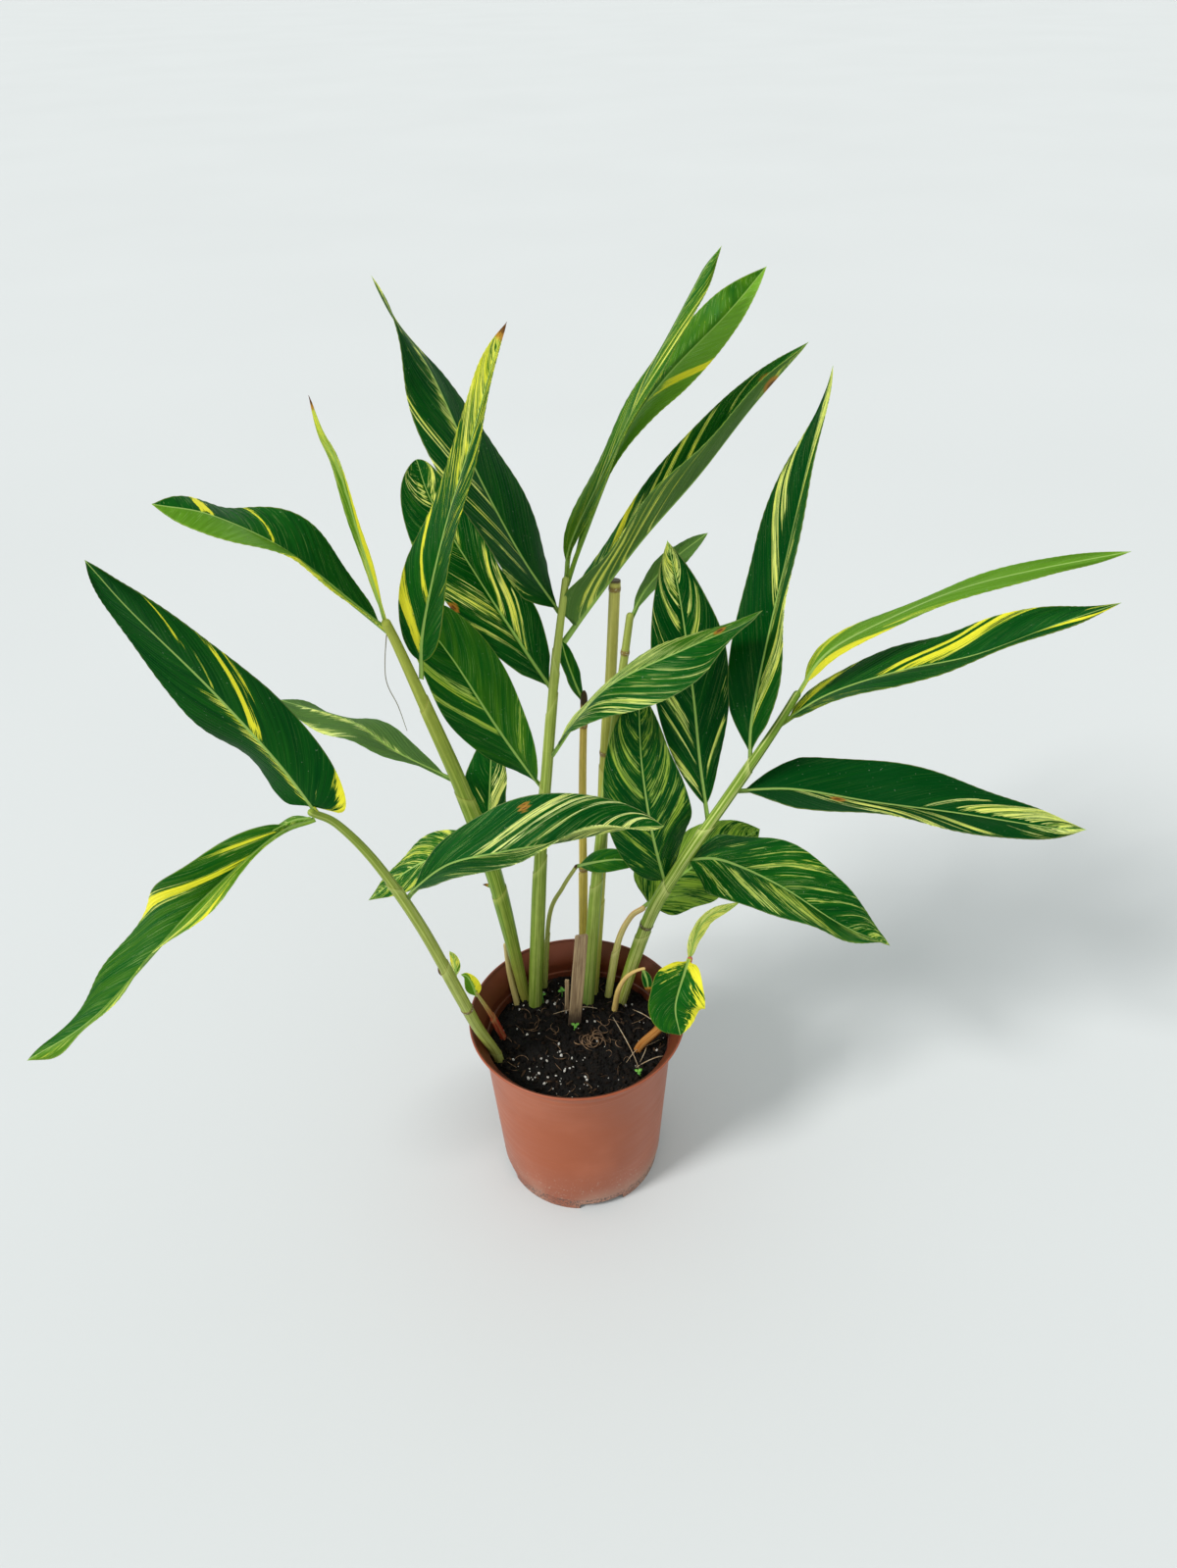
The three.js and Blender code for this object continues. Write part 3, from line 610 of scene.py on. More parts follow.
@dataclass(frozen=True)
class BladeFinish:
    """Leaf surface: dark and light green tissue, cream and yellow streaks that follow the veins, a
    pale midrib and edge, dry spots, a soft waxy gloss, and some light let through."""

    dark: Colour = (0.0, 0.066, 0.006)
    middle: Colour = (0.010, 0.128, 0.008)
    light: Colour = (0.108, 0.265, 0.010)
    lime: Colour = (0.20, 0.38, 0.04)
    cream: Colour = (0.84, 0.86, 0.46)
    yellow: Colour = (0.76, 0.72, 0.06)
    pin: Colour = (0.40, 0.56, 0.18)
    under_green: Colour = (0.145, 0.25, 0.068)
    rib: Colour = (0.40, 0.55, 0.16)
    dry: Colour = (0.16, 0.06, 0.02)
    orange: Colour = (0.52, 0.24, 0.035)
    mote: Colour = (0.42, 0.50, 0.36)
    haze: Colour = (0.30, 0.38, 0.20)
    gloss_tint: Colour = (0.30, 1.0, 0.45)
    roughness: float = 0.36
    under_roughness: float = 0.12
    passed: float = 0.48

    def material(self, face: Face) -> Material:
        """Material of one face.

        The streaks are noise that changes fast along the midrib and slowly along a vein, cut off at
        a height set by how streaked the leaf is there. A band is a distance in mm, roughened by the
        same noise. All of it reads values kept in the mesh.

        Args:
            face: upper face or underside.

        Returns:
            The material.
        """
        g = Graph(f"blade_{face.value}")
        under = face is Face.UNDER
        root, out, _ = g.value("vein")
        cream_mm, yellow_mm, streaks = g.value("marks")
        rib, edge_mm, dryness = g.value("lines")
        seed, tone, yellowness = g.value("leaf")
        pins, margin, greenish = g.value("trim")
        flow = g.vector(root, out, seed)

        fine = g.noise(flow, (0.6, 2.0, 3.1), 3, 0.66)
        broad = g.noise(flow, (0.11, 1.0, 5.3), 1)
        hair = g.noise(flow, (2.6, 1.7, 2.3), 1, 0.4)
        lengthwise = g.noise(flow, (1.5, 0.5, 7.7), 2, 0.6)
        broken = g.noise(flow, (0.42, 3.2, 9.1), 2, 0.6)
        gaps = g.noise(flow, (0.75, 1.1, 12.3), 1)
        mixed = g.plus_times(fine, 0.56, g.plus_times(broad, 0.22, g.times(broken, 0.22)))
        limit = g.plus_times(streaks, -0.34, 0.76)
        streak = g.smooth(mixed, limit, g.add(limit, 0.018))
        halo = g.smooth(mixed, g.add(limit, -0.03), limit, 0.4)

        wobble = g.plus_times(lengthwise, 3.0, g.plus_times(broken, 5.0, -8.3))
        wobble = g.plus_times(fine, 8.0, wobble)
        cream_band = g.smooth(g.add(cream_mm, wobble), -0.25, 0.3)
        yellow_band = g.smooth(g.add(yellow_mm, wobble), -0.25, 0.3)
        either_mm = g.math("MAXIMUM", cream_mm, yellow_mm)
        near_band = g.smooth(g.add(either_mm, wobble), -0.9, 0.2, 0.4)
        pin = g.times(g.smooth(hair, 0.66, 0.70), pins)

        share = g.add(tone, g.plus_times(broad, 0.8, -0.4))
        share = g.plus_times(lengthwise, 0.5, g.add(share, -0.25))
        green = g.mix(g.times(share, 2.0), self.dark, self.middle)
        green = g.mix(g.plus_times(share, 2.0, -1.0), green, self.light)
        green = g.mix(g.add(share, -1.0), green, self.lime)
        if under:
            dull = g.shade(self.under_green, g.plus_times(tone, 0.8, 0.35))
            green = g.mix(0.65, green, dull)
        green = g.shade(green, g.plus_times(hair, 0.5, 0.75))
        pale_share = g.add(yellowness, g.plus_times(broad, 1.2, -0.6))
        pale = g.mix(pale_share, self.cream, self.yellow)
        pale = g.mix(g.add(greenish, g.plus_times(fine, 0.9, -0.45)), pale, self.lime)
        pale = g.shade(pale, g.plus_times(lengthwise, 0.5, 0.72))
        colour = g.mix(g.math("MAXIMUM", halo, near_band), green, self.lime)
        colour = g.mix(pin, colour, self.pin)
        kept = g.smooth(gaps, 0.60, 0.55)
        colour = g.mix(g.times(g.math("MAXIMUM", streak, cream_band), kept), colour, pale)
        bright = g.shade(self.yellow, g.plus_times(lengthwise, 0.6, 0.68))
        colour = g.mix(yellow_band, colour, bright)
        edge = g.times(g.smooth(edge_mm, 0.75, 0.2, 0.6), margin)
        colour = g.mix(edge, colour, self.lime if under else pale)
        colour = g.mix(g.smooth(rib, 1.3, 0.7, 0.95), colour, self.rib)
        worn = g.times(dryness, g.plus_times(fine, 1.8, 0.1))
        colour = g.mix(g.smooth(worn, 0.25, 0.5, 0.85), colour, self.orange)
        colour = g.mix(g.smooth(worn, 0.62, 0.8), colour, self.dry)
        motes = g.smooth(g.noise(g.place(), 620.0, 1), 0.73, 0.78, 0.3)
        colour = g.mix(motes, colour, self.mote)
        if under:
            colour = g.mix(0.10, colour, self.haze)

        height = g.plus_times(g.noise(flow, (1.15, 0.35, 1.0), 2, 0.55), 1.0, g.times(hair, 0.35))
        normal = g.bump(height, 0.42, 0.0006)
        dulled = self.roughness - 0.08 + (self.under_roughness if under else 0.0)
        rough = g.plus_times(lengthwise, 0.16, dulled)
        return g.surface(
            colour, rough, normal, self.passed, g.shade(colour, 1.6),
            Specular_IOR_Level=0.2, Specular_Tint=self.gloss_tint,
        )


@dataclass
class Leaf:
    """One blade with its stalk, with the same sizes as its solid, and its markings.

    Lengths are millimetres and angles degrees. path is the midrib. left and right are the angles at
    which the halves rise from a plane that faces the sun, at even steps from base to tip. RIB is how
    much wider the pale midrib's half is at the base, and its half width at the tip. GROOVE is depth
    and spread, RIDGE how much higher it is at the base, its height at the tip and its spread.
    """

    name: str
    path: tuple[Point, ...]
    width: float
    belly: float
    taper: float
    left: tuple[float, ...]
    right: tuple[float, ...]
    wave: float = 1.2
    waves: float = 2.5
    phase: float = 0.0
    heel: float = 0.0
    veins: tuple[float, float] = (0.25, 0.75)
    neck: float = 0.0
    pointed: bool = True
    slot: str = "blade"
    look: Look = Look()
    node: bool = True
    curve: Curve = field(init=False)

    CURL: ClassVar[float] = np.radians(-14)
    STALK_RADIUS: ClassVar[float] = 1.6
    STALK_SHARE: ClassVar[float] = 0.06
    NECKED_STALK_SHARE: ClassVar[float] = 0.02
    POINT_SHARE: ClassVar[float] = 0.16
    POINT_TAPER: ClassVar[float] = 1.05
    TIP: ClassVar[float] = 0.2
    EDGE: ClassVar[float] = 0.45
    VEIN_BEND: ClassVar[float] = 1.1
    PLEAT_SPACING: ClassVar[float] = 6.5
    PLEAT_DEPTH: ClassVar[float] = 0.13
    MOST_ROWS: ClassVar[int] = 230
    FEWEST_ROWS: ClassVar[int] = 24
    COLUMNS: ClassVar[int] = 37
    NARROW_COLUMNS: ClassVar[int] = 21
    NARROW: ClassVar[float] = 20.0
    FOOT_BEND: ClassVar[float] = 1.35
    ACROSS_BEND: ClassVar[float] = 1.4
    FAN: ClassVar[float] = 0.16
    RIB: ClassVar[tuple[float, float]] = (0.95, 0.28)
    GROOVE: ClassVar[tuple[float, float]] = (0.3, 1.1)
    RIDGE: ClassVar[tuple[float, float, float]] = (2.0, 0.35, 1.35)
    OUTSIDE: ClassVar[float] = -9.0
    DEEPEST: ClassVar[dict[Tissue, float]] = {Tissue.CREAM: 1.5, Tissue.YELLOW: 2.1}

    def __post_init__(self) -> None:
        """Make the midrib's curve."""
        self.curve = Curve(self.path)

    def half_width(self, t: Array) -> Array:
        """Half width in mm at share t.

        Formula: x to the power a times one minus x to the power b, scaled to the half width at its
        peak, the belly, where x runs from 0 at the stalk's end to 1 at the tip. The last sixth of a
        pointed blade runs out to a point. A neck narrows the base by the root of x over its length.
        The result is never under the stalk's radius times the square of one minus t, or the tip's.

        Args:
            t: shares along the midrib.

        Returns:
            One half width for each share.
        """
        stalk_share = self.NECKED_STALK_SHARE if self.neck else self.STALK_SHARE
        x = np.clip((t - stalk_share) / (1 - stalk_share), 0, 1)
        rise = self.taper * self.belly / (1 - self.belly)
        peak = self.belly**rise * (1 - self.belly) ** self.taper
        shape = x**rise * (1 - x) ** self.taper / peak
        if self.pointed:
            end = np.minimum(1, (1 - x) / self.POINT_SHARE)
            shape = shape * (end * (2 - end)) ** max(0.0, self.POINT_TAPER - self.taper)
        if self.neck:
            shape = shape * np.minimum(1, x / self.neck) ** 0.5
        stalk = min(self.STALK_RADIUS, self.width / 6)
        return np.maximum(np.maximum(self.width / 2 * shape, stalk * (1 - t) ** 2), self.TIP)

    def vein_root(self, t: Array, v: Array) -> Array:
        """Share of the midrib where the vein through (t, v) leaves it.

        Formula: a vein from root r passes t = r + (1 - r) (k + m r) q, where q is v to the power
        bend and k and m are the veins' reach at the base and its growth, and this is solved for r.

        Args:
            t: shares along the midrib.
            v: shares of the way to the edge.

        Returns:
            The share r for each point.
        """
        first, growth = self.veins
        q = v**self.VEIN_BEND
        middle, rest = 1 + q * (growth - first), t - q * first
        inner = np.maximum(middle**2 - 4 * q * growth * rest, 0)
        return 2 * rest / (middle + np.sqrt(inner))

    def middle(self, t: Array, s: Array) -> tuple[Array, Array, Array]:
        """Middle surface of the blade.

        Formula: from the midrib each half leaves at its own angle and turns down by the curl on the
        way to the edge, so its cross section is an arc; a sine wave that grows with the square of
        the way out lifts the edge, and shallow pleats follow the veins.

        Args:
            t: shares along the midrib, as a column or a full grid.
            s: shares across, from -1 at the left edge to 1 at the right edge, as a row.

        Returns:
            Points, outward normals of the upper face, and mm from the midrib with a sign.
        """
        side, v = np.where(s < 0, -1.0, 1.0), np.abs(s)
        at, ahead, up, right = (a.reshape(*t.shape, 3) for a in self.curve.frame(t.ravel()))
        half = self.half_width(t)
        left_angle, right_angle = np.radians(knots(self.left, t)), np.radians(knots(self.right, t))
        angle = np.where(side < 0, left_angle, right_angle)
        turned = angle + self.CURL * v
        reach = half * (np.sin(turned) - np.sin(angle)) / self.CURL
        lift = half * (np.cos(angle) - np.cos(turned)) / self.CURL
        wave = self.wave * v**2 * np.sin(2 * np.pi * self.waves * t + self.phase + 0.9 * side)
        turns = 2 * np.pi * self.vein_root(t, v) * self.curve.length / self.PLEAT_SPACING
        pleats = self.PLEAT_DEPTH * np.sin(turns + side) * 4 * v * (1 - 0.75 * v)
        crest = (wave + pleats) * np.minimum(1, half / 8)
        heel = np.where(side > 0, self.heel * half * v**1.5 * np.maximum(0, 1 - 2.2 * t), 0)
        across = (side * (reach - crest * np.sin(turned)))[..., None]
        above = (lift + crest * np.cos(turned))[..., None]
        points = at + across * right + above * up - heel[..., None] * ahead

        turn = (right_angle - left_angle) / 2
        share = smooth(half * v, 0, 2.5)[..., None]
        flank = -(side * np.sin(turned))[..., None] * right + np.cos(turned)[..., None] * up
        ridge = -np.sin(turn)[..., None] * right + np.cos(turn)[..., None] * up
        normals = share * flank + (1 - share) * ridge
        return points, normals / np.linalg.norm(normals, axis=-1, keepdims=True), half * s

    def band_depth(self, band: Band, root: Array, s: Array) -> Array:
        """Millimetres inside a band up to a limit, negative outside it; its ends narrow to points.

        Args:
            band: the band.
            root: share of the midrib where each point's vein leaves it.
            s: shares across, from -1 to 1.

        Returns:
            One depth for each point.
        """
        v = np.abs(s)
        across = np.minimum(root - band.low, band.high - root) * self.curve.length
        ends = np.minimum(v - band.start, band.end - v) * 9
        depth = np.minimum(np.minimum(across, ends), self.DEEPEST[band.tissue])
        return np.where(np.sign(s) == band.side.value, depth, self.OUTSIDE)

    def marks(self, root: Array, s: Array, t: Array) -> Array:
        """Markings of the blade's look.

        Args:
            root: share of the midrib where each point's vein leaves it.
            s: shares across, from -1 to 1.
            t: shares along the midrib.

        Returns:
            Depths inside the cream and the yellow bands in mm, and how streaked each point is.
        """
        solid = {tissue: np.full(root.shape, self.OUTSIDE) for tissue in Tissue}
        streaked = np.where(s < 0, knots(self.look.left, t), knots(self.look.right, t))
        for band in self.look.bands:
            depth = self.band_depth(band, root, s)
            if band.fill < 1:
                streaked = np.maximum(streaked, band.fill * smooth(depth, -1.5, 1.5))
            else:
                solid[band.tissue] = np.maximum(solid[band.tissue], depth)
        return np.stack([solid[Tissue.CREAM], solid[Tissue.YELLOW], streaked], -1)

    def dryness(self, points: Array, t: Array) -> Array:
        """How dry each point is, from 0 to a little over 1.

        Formula: a straight fall from the tip over the look's dry length, or from the middle of each
        spot to its radius, whichever is more.

        Args:
            points: points of the middle surface.
            t: their shares along the midrib.

        Returns:
            One number for each point.
        """
        tip = 1.25 - (1 - t) * self.curve.length / max(self.look.dry, 0.01)
        dry = np.clip(tip, 0, 1) * (self.look.dry > 0)
        for spot in self.look.spots:
            where = self.middle(np.array([[spot.along]]), np.array([[spot.side.value * spot.out]]))[0]
            gap = np.linalg.norm(points - where[0, 0], axis=-1)
            dry = np.maximum(dry, np.clip(1.1 - gap / spot.radius, 0, 1))
        return dry

    def values(self, points: Array, x: Array, s: Array, t: Array) -> dict[str, Array]:
        """Numbers that the material reads at each point of the upper side.

        Args:
            points: points of the middle surface.
            x: mm from the midrib, with a sign.
            s: shares across, from -1 to 1.
            t: shares along the midrib.

        Returns:
            Three numbers for each point under each name.
        """
        look, root, same = self.look, self.vein_root(t, np.abs(s)), np.ones_like(s)
        rib_half = self.RIB[0] * (1 - t) + self.RIB[1]
        edge = self.half_width(t) * (1 - np.abs(s))
        seed = sum(ord(letter) * (i + 3) for i, letter in enumerate(self.name)) % 97
        rows = {
            "vein": [root * self.curve.length, s, 0 * s],
            "lines": [np.abs(x) / rib_half, edge, self.dryness(points, t)],
            # The left half's tone is shifted by the look's painted light: lighter as painted light,
            # darker as painted shade.
            "leaf": [same * seed, same * look.tone + look.painted_light_left * (s < 0), same * look.yellow],
            "trim": [same * look.pins, same * look.margin, same * look.lime],
        }
        return {key: np.stack(row, -1) for key, row in rows.items()} | {"marks": self.marks(root, s, t)}

    def shape(self) -> Shape:
        """Closed thin shell of the blade.

        Formula: each row follows a vein on both halves, and has the upper points, at the middle surface
        plus half the edge's thickness along the normal, less a groove over the midrib, then the lower
        points, below it by as much plus the midrib's ridge, a bell curve of the distance from it.

        Returns:
            The shell, with the material slot of each face.
        """
        rows = int(np.clip(self.curve.length, self.FEWEST_ROWS, self.MOST_ROWS))
        foot = (np.linspace(0, 1, rows) ** self.FOOT_BEND)[:, None]
        columns = self.COLUMNS if self.width > self.NARROW else self.NARROW_COLUMNS
        u = np.linspace(-1, 1, columns)[None]
        s = np.sign(u) * np.abs(u) ** self.ACROSS_BEND + 0 * foot
        v = np.abs(s)
        first, growth = self.veins
        fan = smooth(foot, 0, self.FAN) * (1 - foot) * (first + growth * foot)
        t = foot + fan * v**self.VEIN_BEND
        points, normals, x = self.middle(t, s)
        thick = self.EDGE / 2 + 0 * x
        fade = np.minimum(1, self.half_width(t) / 6)
        depth, spread = self.GROOVE
        groove = depth * np.exp(-((x / spread) ** 2)) * fade
        base, tip, spread = self.RIDGE
        ridge = (tip + base * (1 - t) ** 2) * np.exp(-((x / spread) ** 2)) * min(1, self.width / 18)
        closing = 1 - 0.85 * smooth(t, 0.97, 1)
        upper = points + normals * ((thick - groove) * closing)[..., None]
        lower = points - normals * ((thick + ridge) * closing)[..., None]
        rings = np.concatenate([upper, lower[:, ::-1]], axis=1)
        half = self.values(points, x, s, t)
        values = {key: np.concatenate([value, value[:, ::-1]], axis=1) for key, value in half.items()}
        made = rings_shape(rings, values)
        k = np.tile(np.arange(2 * columns), rows - 1)
        caps = np.zeros(len(made.faces) - len(k), bool)
        under = (k >= columns) & (k < 2 * columns - 1)
        made.slots = np.concatenate([under ^ (self.look.shown is Face.UNDER), caps]).astype(int)
        return made

    def build(self, faces: dict[Face, Material]) -> Object:
        """Make the leaf and dress it in the material of each face."""
        shown = self.shape().piece(f"{self.name}_fine", [faces[Face.UPPER], faces[Face.UNDER]])
        return settle(shown, (self.name,) if self.node else ())


# Stems


@dataclass(frozen=True)
class StemLook:
    """Colours of one stem, from foot to tip, and its marks.

    stripe and stripes are the colour and strength of the pale stripes. rings are the shares of the
    length with a brown node scar, slant is how far in mm a sheath's edge runs down round the stem,
    turn the angle in degrees where the first edge is highest, scar the colour of the edges, end and
    end_length the colour and length in mm of a dry end, and domed how far it bulges, in radii.
    """

    foot: Colour
    body: Colour
    top: Colour
    stripe: Colour = (0.50, 0.56, 0.22)
    stripes: float = 0.5
    rings: tuple[float, ...] = ()
    slant: float = 5.0
    turn: float = 0.0
    scar: Colour = (0.20, 0.10, 0.04)
    end: Colour = (0.12, 0.06, 0.03)
    end_length: float = 0.0
    domed: float = 1.0


@dataclass(frozen=True)
class StemFinish:
    """Stem surface: colours from foot to tip, long pale and dark stripes, the thin dry edges of the
    leaf sheaths, brown node scars, and fine ribs along the stem."""

    look: StemLook
    fleck: Colour = (0.62, 0.58, 0.46)
    gloss_tint: Colour = (0.75, 1.0, 0.35)
    roughness: float = 0.42

    def material(self, name: str) -> Material:
        """Material of one stem.

        Its stripes are noise on the place round the stem, stretched along it, so they have no seam.

        Args:
            name: name of the stem.

        Returns:
            The material.
        """
        g = Graph(f"{name}_skin")
        look = self.look
        around_x, around_y, along = g.value("run")
        below, ring_mm, end_mm = g.value("sheath")
        share = g.value("rise")[0]
        flow = g.vector(around_x, around_y, along)
        wide = g.noise(flow, (1.3, 1.3, 0.006), 1)
        lines = g.noise(flow, (5.5, 5.5, 0.012), 2, 0.6)
        blot = g.noise(flow, (1.6, 1.6, 0.09), 3, 0.6)
        colour = g.mix(g.smooth(share, 0.0, 0.30), look.foot, look.body)
        colour = g.mix(g.smooth(share, 0.45, 1.0), colour, look.top)
        striped = g.smooth(g.plus_times(wide, 0.55, g.times(lines, 0.45)), 0.5, 0.6)
        colour = g.mix(g.times(striped, look.stripes), colour, look.stripe)
        colour = g.shade(colour, g.plus_times(lines, 0.9, 0.55))
        colour = g.shade(colour, g.plus_times(blot, 0.5, 0.75))
        pale = g.times(g.smooth(below, 9.0, 0.5), g.smooth(below, 0.0, 0.6, 0.45))
        colour = g.mix(pale, colour, look.stripe)
        edge = g.smooth(g.math("ABSOLUTE", below), 0.7, 0.25, 0.28)
        colour = g.mix(g.times(edge, g.smooth(blot, 0.3, 0.45)), colour, look.scar)
        near = g.add(ring_mm, g.plus_times(blot, 1.6, -0.8))
        colour = g.mix(g.smooth(near, 2.6, 1.0, 0.8), colour, look.scar)
        flecks = g.smooth(g.noise(flow, (3.0, 3.0, 1.6), 1), 0.6, 0.66)
        colour = g.mix(g.times(flecks, g.smooth(near, 1.8, 1.0, 0.8)), colour, self.fleck)
        long = look.end_length
        if long > 0:
            ends = g.smooth(g.plus_times(blot, 0.5 * long, end_mm), long * 1.15, long * 0.4)
            colour = g.mix(ends, colour, look.end)
        height = g.add(lines, g.times(g.smooth(near, 2.0, 0.8), blot))
        rough = g.plus_times(blot, 0.2, self.roughness - 0.1)
        return g.surface(
            colour, rough, g.bump(height, 0.5, 0.0005),
            Specular_IOR_Level=0.25, Specular_Tint=self.gloss_tint,
        )


@dataclass
class Stem:
    """One leafy stem or shoot, made of the sheaths of its leaves, each growing out of the one below.

    Lengths are millimetres. radii are spread evenly from foot to tip, and joints are the shares of
    the length where a sheath ends.
    """

    name: str
    path: tuple[Point, ...]
    radii: tuple[float, ...]
    joints: tuple[float, ...]
    slot: str
    look: StemLook
    node: bool = True
    curve: Curve = field(init=False)

    SIDES: ClassVar[int] = 28
    STEP: ClassVar[float] = 0.5
    ROW_SPACING: ClassVar[float] = 2.6
    DOME_ROWS: ClassVar[int] = 6
    SWELL: ClassVar[float] = 0.45
    RIBS: ClassVar[int] = 9
    NO_EDGE: ClassVar[float] = 60.0
    NO_RING: ClassVar[float] = 30.0

    def __post_init__(self) -> None:
        """Make the stem's curve."""
        self.curve = Curve(self.path)

    def shares(self) -> Array:
        """Shares of the length for the rings: even, with more of them at each sheath's edge.

        Returns:
            The shares, from 0 to 1.
        """
        length = self.curve.length
        even = np.linspace(0, 1, int(length / self.ROW_SPACING) + 2)
        reach = self.look.slant + 1.5
        near = [joint + np.arange(-reach, reach, 0.7) / length for joint in self.joints]
        near += [ring + np.arange(-3, 3.1, 0.5) / length for ring in self.look.rings]
        every = np.unique(np.round(np.concatenate([even, *near]), 6))
        return every[(every >= 0) & (every <= 1)]

    def edges(self, angle: Array) -> list[Array]:
        """Share of the length where each sheath ends, round the stem.

        Formula: the joint's share plus the slant times the cosine of the angle from its leaf, which
        changes sides from one joint to the next.

        Args:
            angle: angles round the stem, in radians.

        Returns:
            For each sheath, one share for each angle.
        """
        start = np.radians(self.look.turn)
        return [
            joint + self.look.slant * np.cos(angle - start - np.pi * k) / self.curve.length
            for k, joint in enumerate(self.joints)
        ]

    def shape(self) -> Shape:
        """Closed surface of the stem.

        Formula: a ring point lies at the radius in the plane of the path's sunward and right-hand
        sides. The radius grows along each sheath by the step and falls back at the sheath's edge,
        swells at a node as a bell curve, and follows shallow ribs; past the tip it closes as a dome.

        Returns:
            The stem.
        """
        length = self.curve.length
        t = self.shares()
        angle = circle(self.SIDES)[None]
        dome = np.radians(np.linspace(15, 88, self.DOME_ROWS))
        t_all = np.concatenate([t, np.ones(self.DOME_ROWS)])[:, None]
        at, ahead, up, right = self.curve.frame(t_all[:, 0])
        radius = knots(self.radii, t_all)
        closing = np.concatenate([np.ones(len(t)), np.cos(dome)])[:, None]
        past = np.concatenate([np.zeros(len(t)), np.sin(dome)])[:, None]
        at = at + ahead * past * radius[-1] * self.look.domed

        extra, below = 0 * angle * t_all, np.full((len(t_all), self.SIDES), self.NO_EDGE)
        start = 0 * angle
        for end in self.edges(angle):
            inside = (t_all >= start) & (t_all < end)
            extra = np.where(inside, self.STEP * (t_all - start) / (end - start), extra)
            gap = (end - t_all) * length
            below = np.where(np.abs(gap) < np.abs(below), gap, below)
            start = end
        ring_mm = np.full(t_all.shape, self.NO_RING)
        for share in self.look.rings:
            ring_mm = np.minimum(ring_mm, np.abs(t_all - share) * length)
        swell = self.SWELL * np.exp(-((ring_mm / 1.8) ** 2))
        ribs = 0.06 * np.sin(self.RIBS * angle + 2 * np.sin(3 * t_all)) * (radius / 4)
        full = (radius + extra + swell + ribs) * closing
        out = right[:, None] * np.cos(angle)[..., None] + up[:, None] * np.sin(angle)[..., None]
        rings = at[:, None] + out * full[..., None]
        rings[0] = at[0]
        same = np.ones_like(full)
        values = {
            "run": np.stack([np.cos(angle) * same, np.sin(angle) * same, t_all * length * same], -1),
            "sheath": np.stack([below, ring_mm * same, (1 - t_all) * length * same], -1),
            "rise": np.stack([t_all * same, 0 * same, 0 * same], -1),
        }
        return rings_shape(rings, values)

    def build(self) -> Object:
        """Make the stem and dress it in its own finish."""
        shown = self.shape().piece(f"{self.name}_fine", [StemFinish(self.look).material(self.name)], 60)
        return settle(shown, (self.name,) if self.node else ())


# Pot


@dataclass(frozen=True)
class PotFinish:
    """Moulded brown plastic: even colour with a faint bloom, rub marks, dust near the foot, a satin
    gloss that the rub marks dull, and painted shade inside the pot above the soil and in a dark
    line under the lip."""

    base: Colour = (0.30, 0.070, 0.022)
    bloom: Colour = (0.40, 0.118, 0.056)
    dust: Colour = (0.46, 0.33, 0.25)
    dirt: Colour = (0.035, 0.018, 0.012)
    painted_shade_and_damp: Colour = (0.07, 0.014, 0.006)
    lip: Colour = (0.26, 0.055, 0.022)
    lip_foot: float = 155.6
    roughness: float = 0.40

    def material(self) -> Material:
        """Material of the pot, patterned by Object coordinates.

        Returns:
            The material.
        """
        g = Graph("pot_moulded")
        place = g.place()
        height, inside, _ = g.value("wall")
        cloud = g.noise(place, 14.0, 3, 0.55)
        rubs = g.noise(place, (30.0, 30.0, 240.0), 3, 0.65)
        specks = g.noise(place, 620.0, 1)
        colour = g.mix(g.smooth(cloud, 0.42, 0.68, 0.45), self.base, self.bloom)
        colour = g.mix(g.smooth(rubs, 0.62, 0.74, 0.35), colour, self.bloom)
        scored = g.smooth(g.noise(place, (2.5, 2.5, 850.0), 2), 0.56, 0.66)
        near_flare = g.times(g.smooth(height, 126.0, 142.0), g.smooth(height, 152.0, 147.0))
        colour = g.mix(g.times(g.times(scored, near_flare), 0.35), colour, self.bloom)
        outer = g.add(1.0, g.times(inside, -1.0))
        lip = g.times(g.smooth(height, self.lip_foot, self.lip_foot + 1.0), outer)
        from_lip = g.math("ABSOLUTE", g.add(height, -self.lip_foot))
        painted_shade_under_lip = g.times(g.smooth(from_lip, 1.1, 0.3), outer)
        colour = g.mix(g.times(lip, 0.45), colour, self.lip)
        # Painted shade: a dark line round the outside at the foot of the lip, as under a rolled rim.
        colour = g.mix(g.times(painted_shade_under_lip, 0.55), colour, self.painted_shade_and_damp)
        low = g.smooth(height, 34.0, 4.0, 0.5)
        colour = g.mix(g.times(low, g.smooth(cloud, 0.4, 0.6)), colour, self.dust)
        dotted = g.times(g.smooth(specks, 0.66, 0.71), g.smooth(height, 60.0, 3.0, 0.9))
        colour = g.mix(dotted, colour, self.dust)
        # Painted shade: the inside of the pot above the soil is darkened, where shade falls inside the
        # wall.
        colour = g.mix(g.times(inside, g.smooth(height, 90.0, 100.0, 0.85)), colour, self.painted_shade_and_damp)
        soiled = g.times(inside, g.smooth(g.plus_times(cloud, 18.0, height), 152.0, 140.0))
        colour = g.mix(g.times(soiled, g.smooth(specks, 0.45, 0.62, 0.8)), colour, self.dirt)
        rough = g.plus_times(rubs, 0.22, g.plus_times(cloud, 0.12, self.roughness - 0.17))
        bump = g.plus_times(g.noise(place, 900.0, 1), 0.3, g.times(rubs, 0.5))
        return g.surface(colour, rough, g.bump(bump, 0.25, 0.0002), Specular_IOR_Level=0.35)


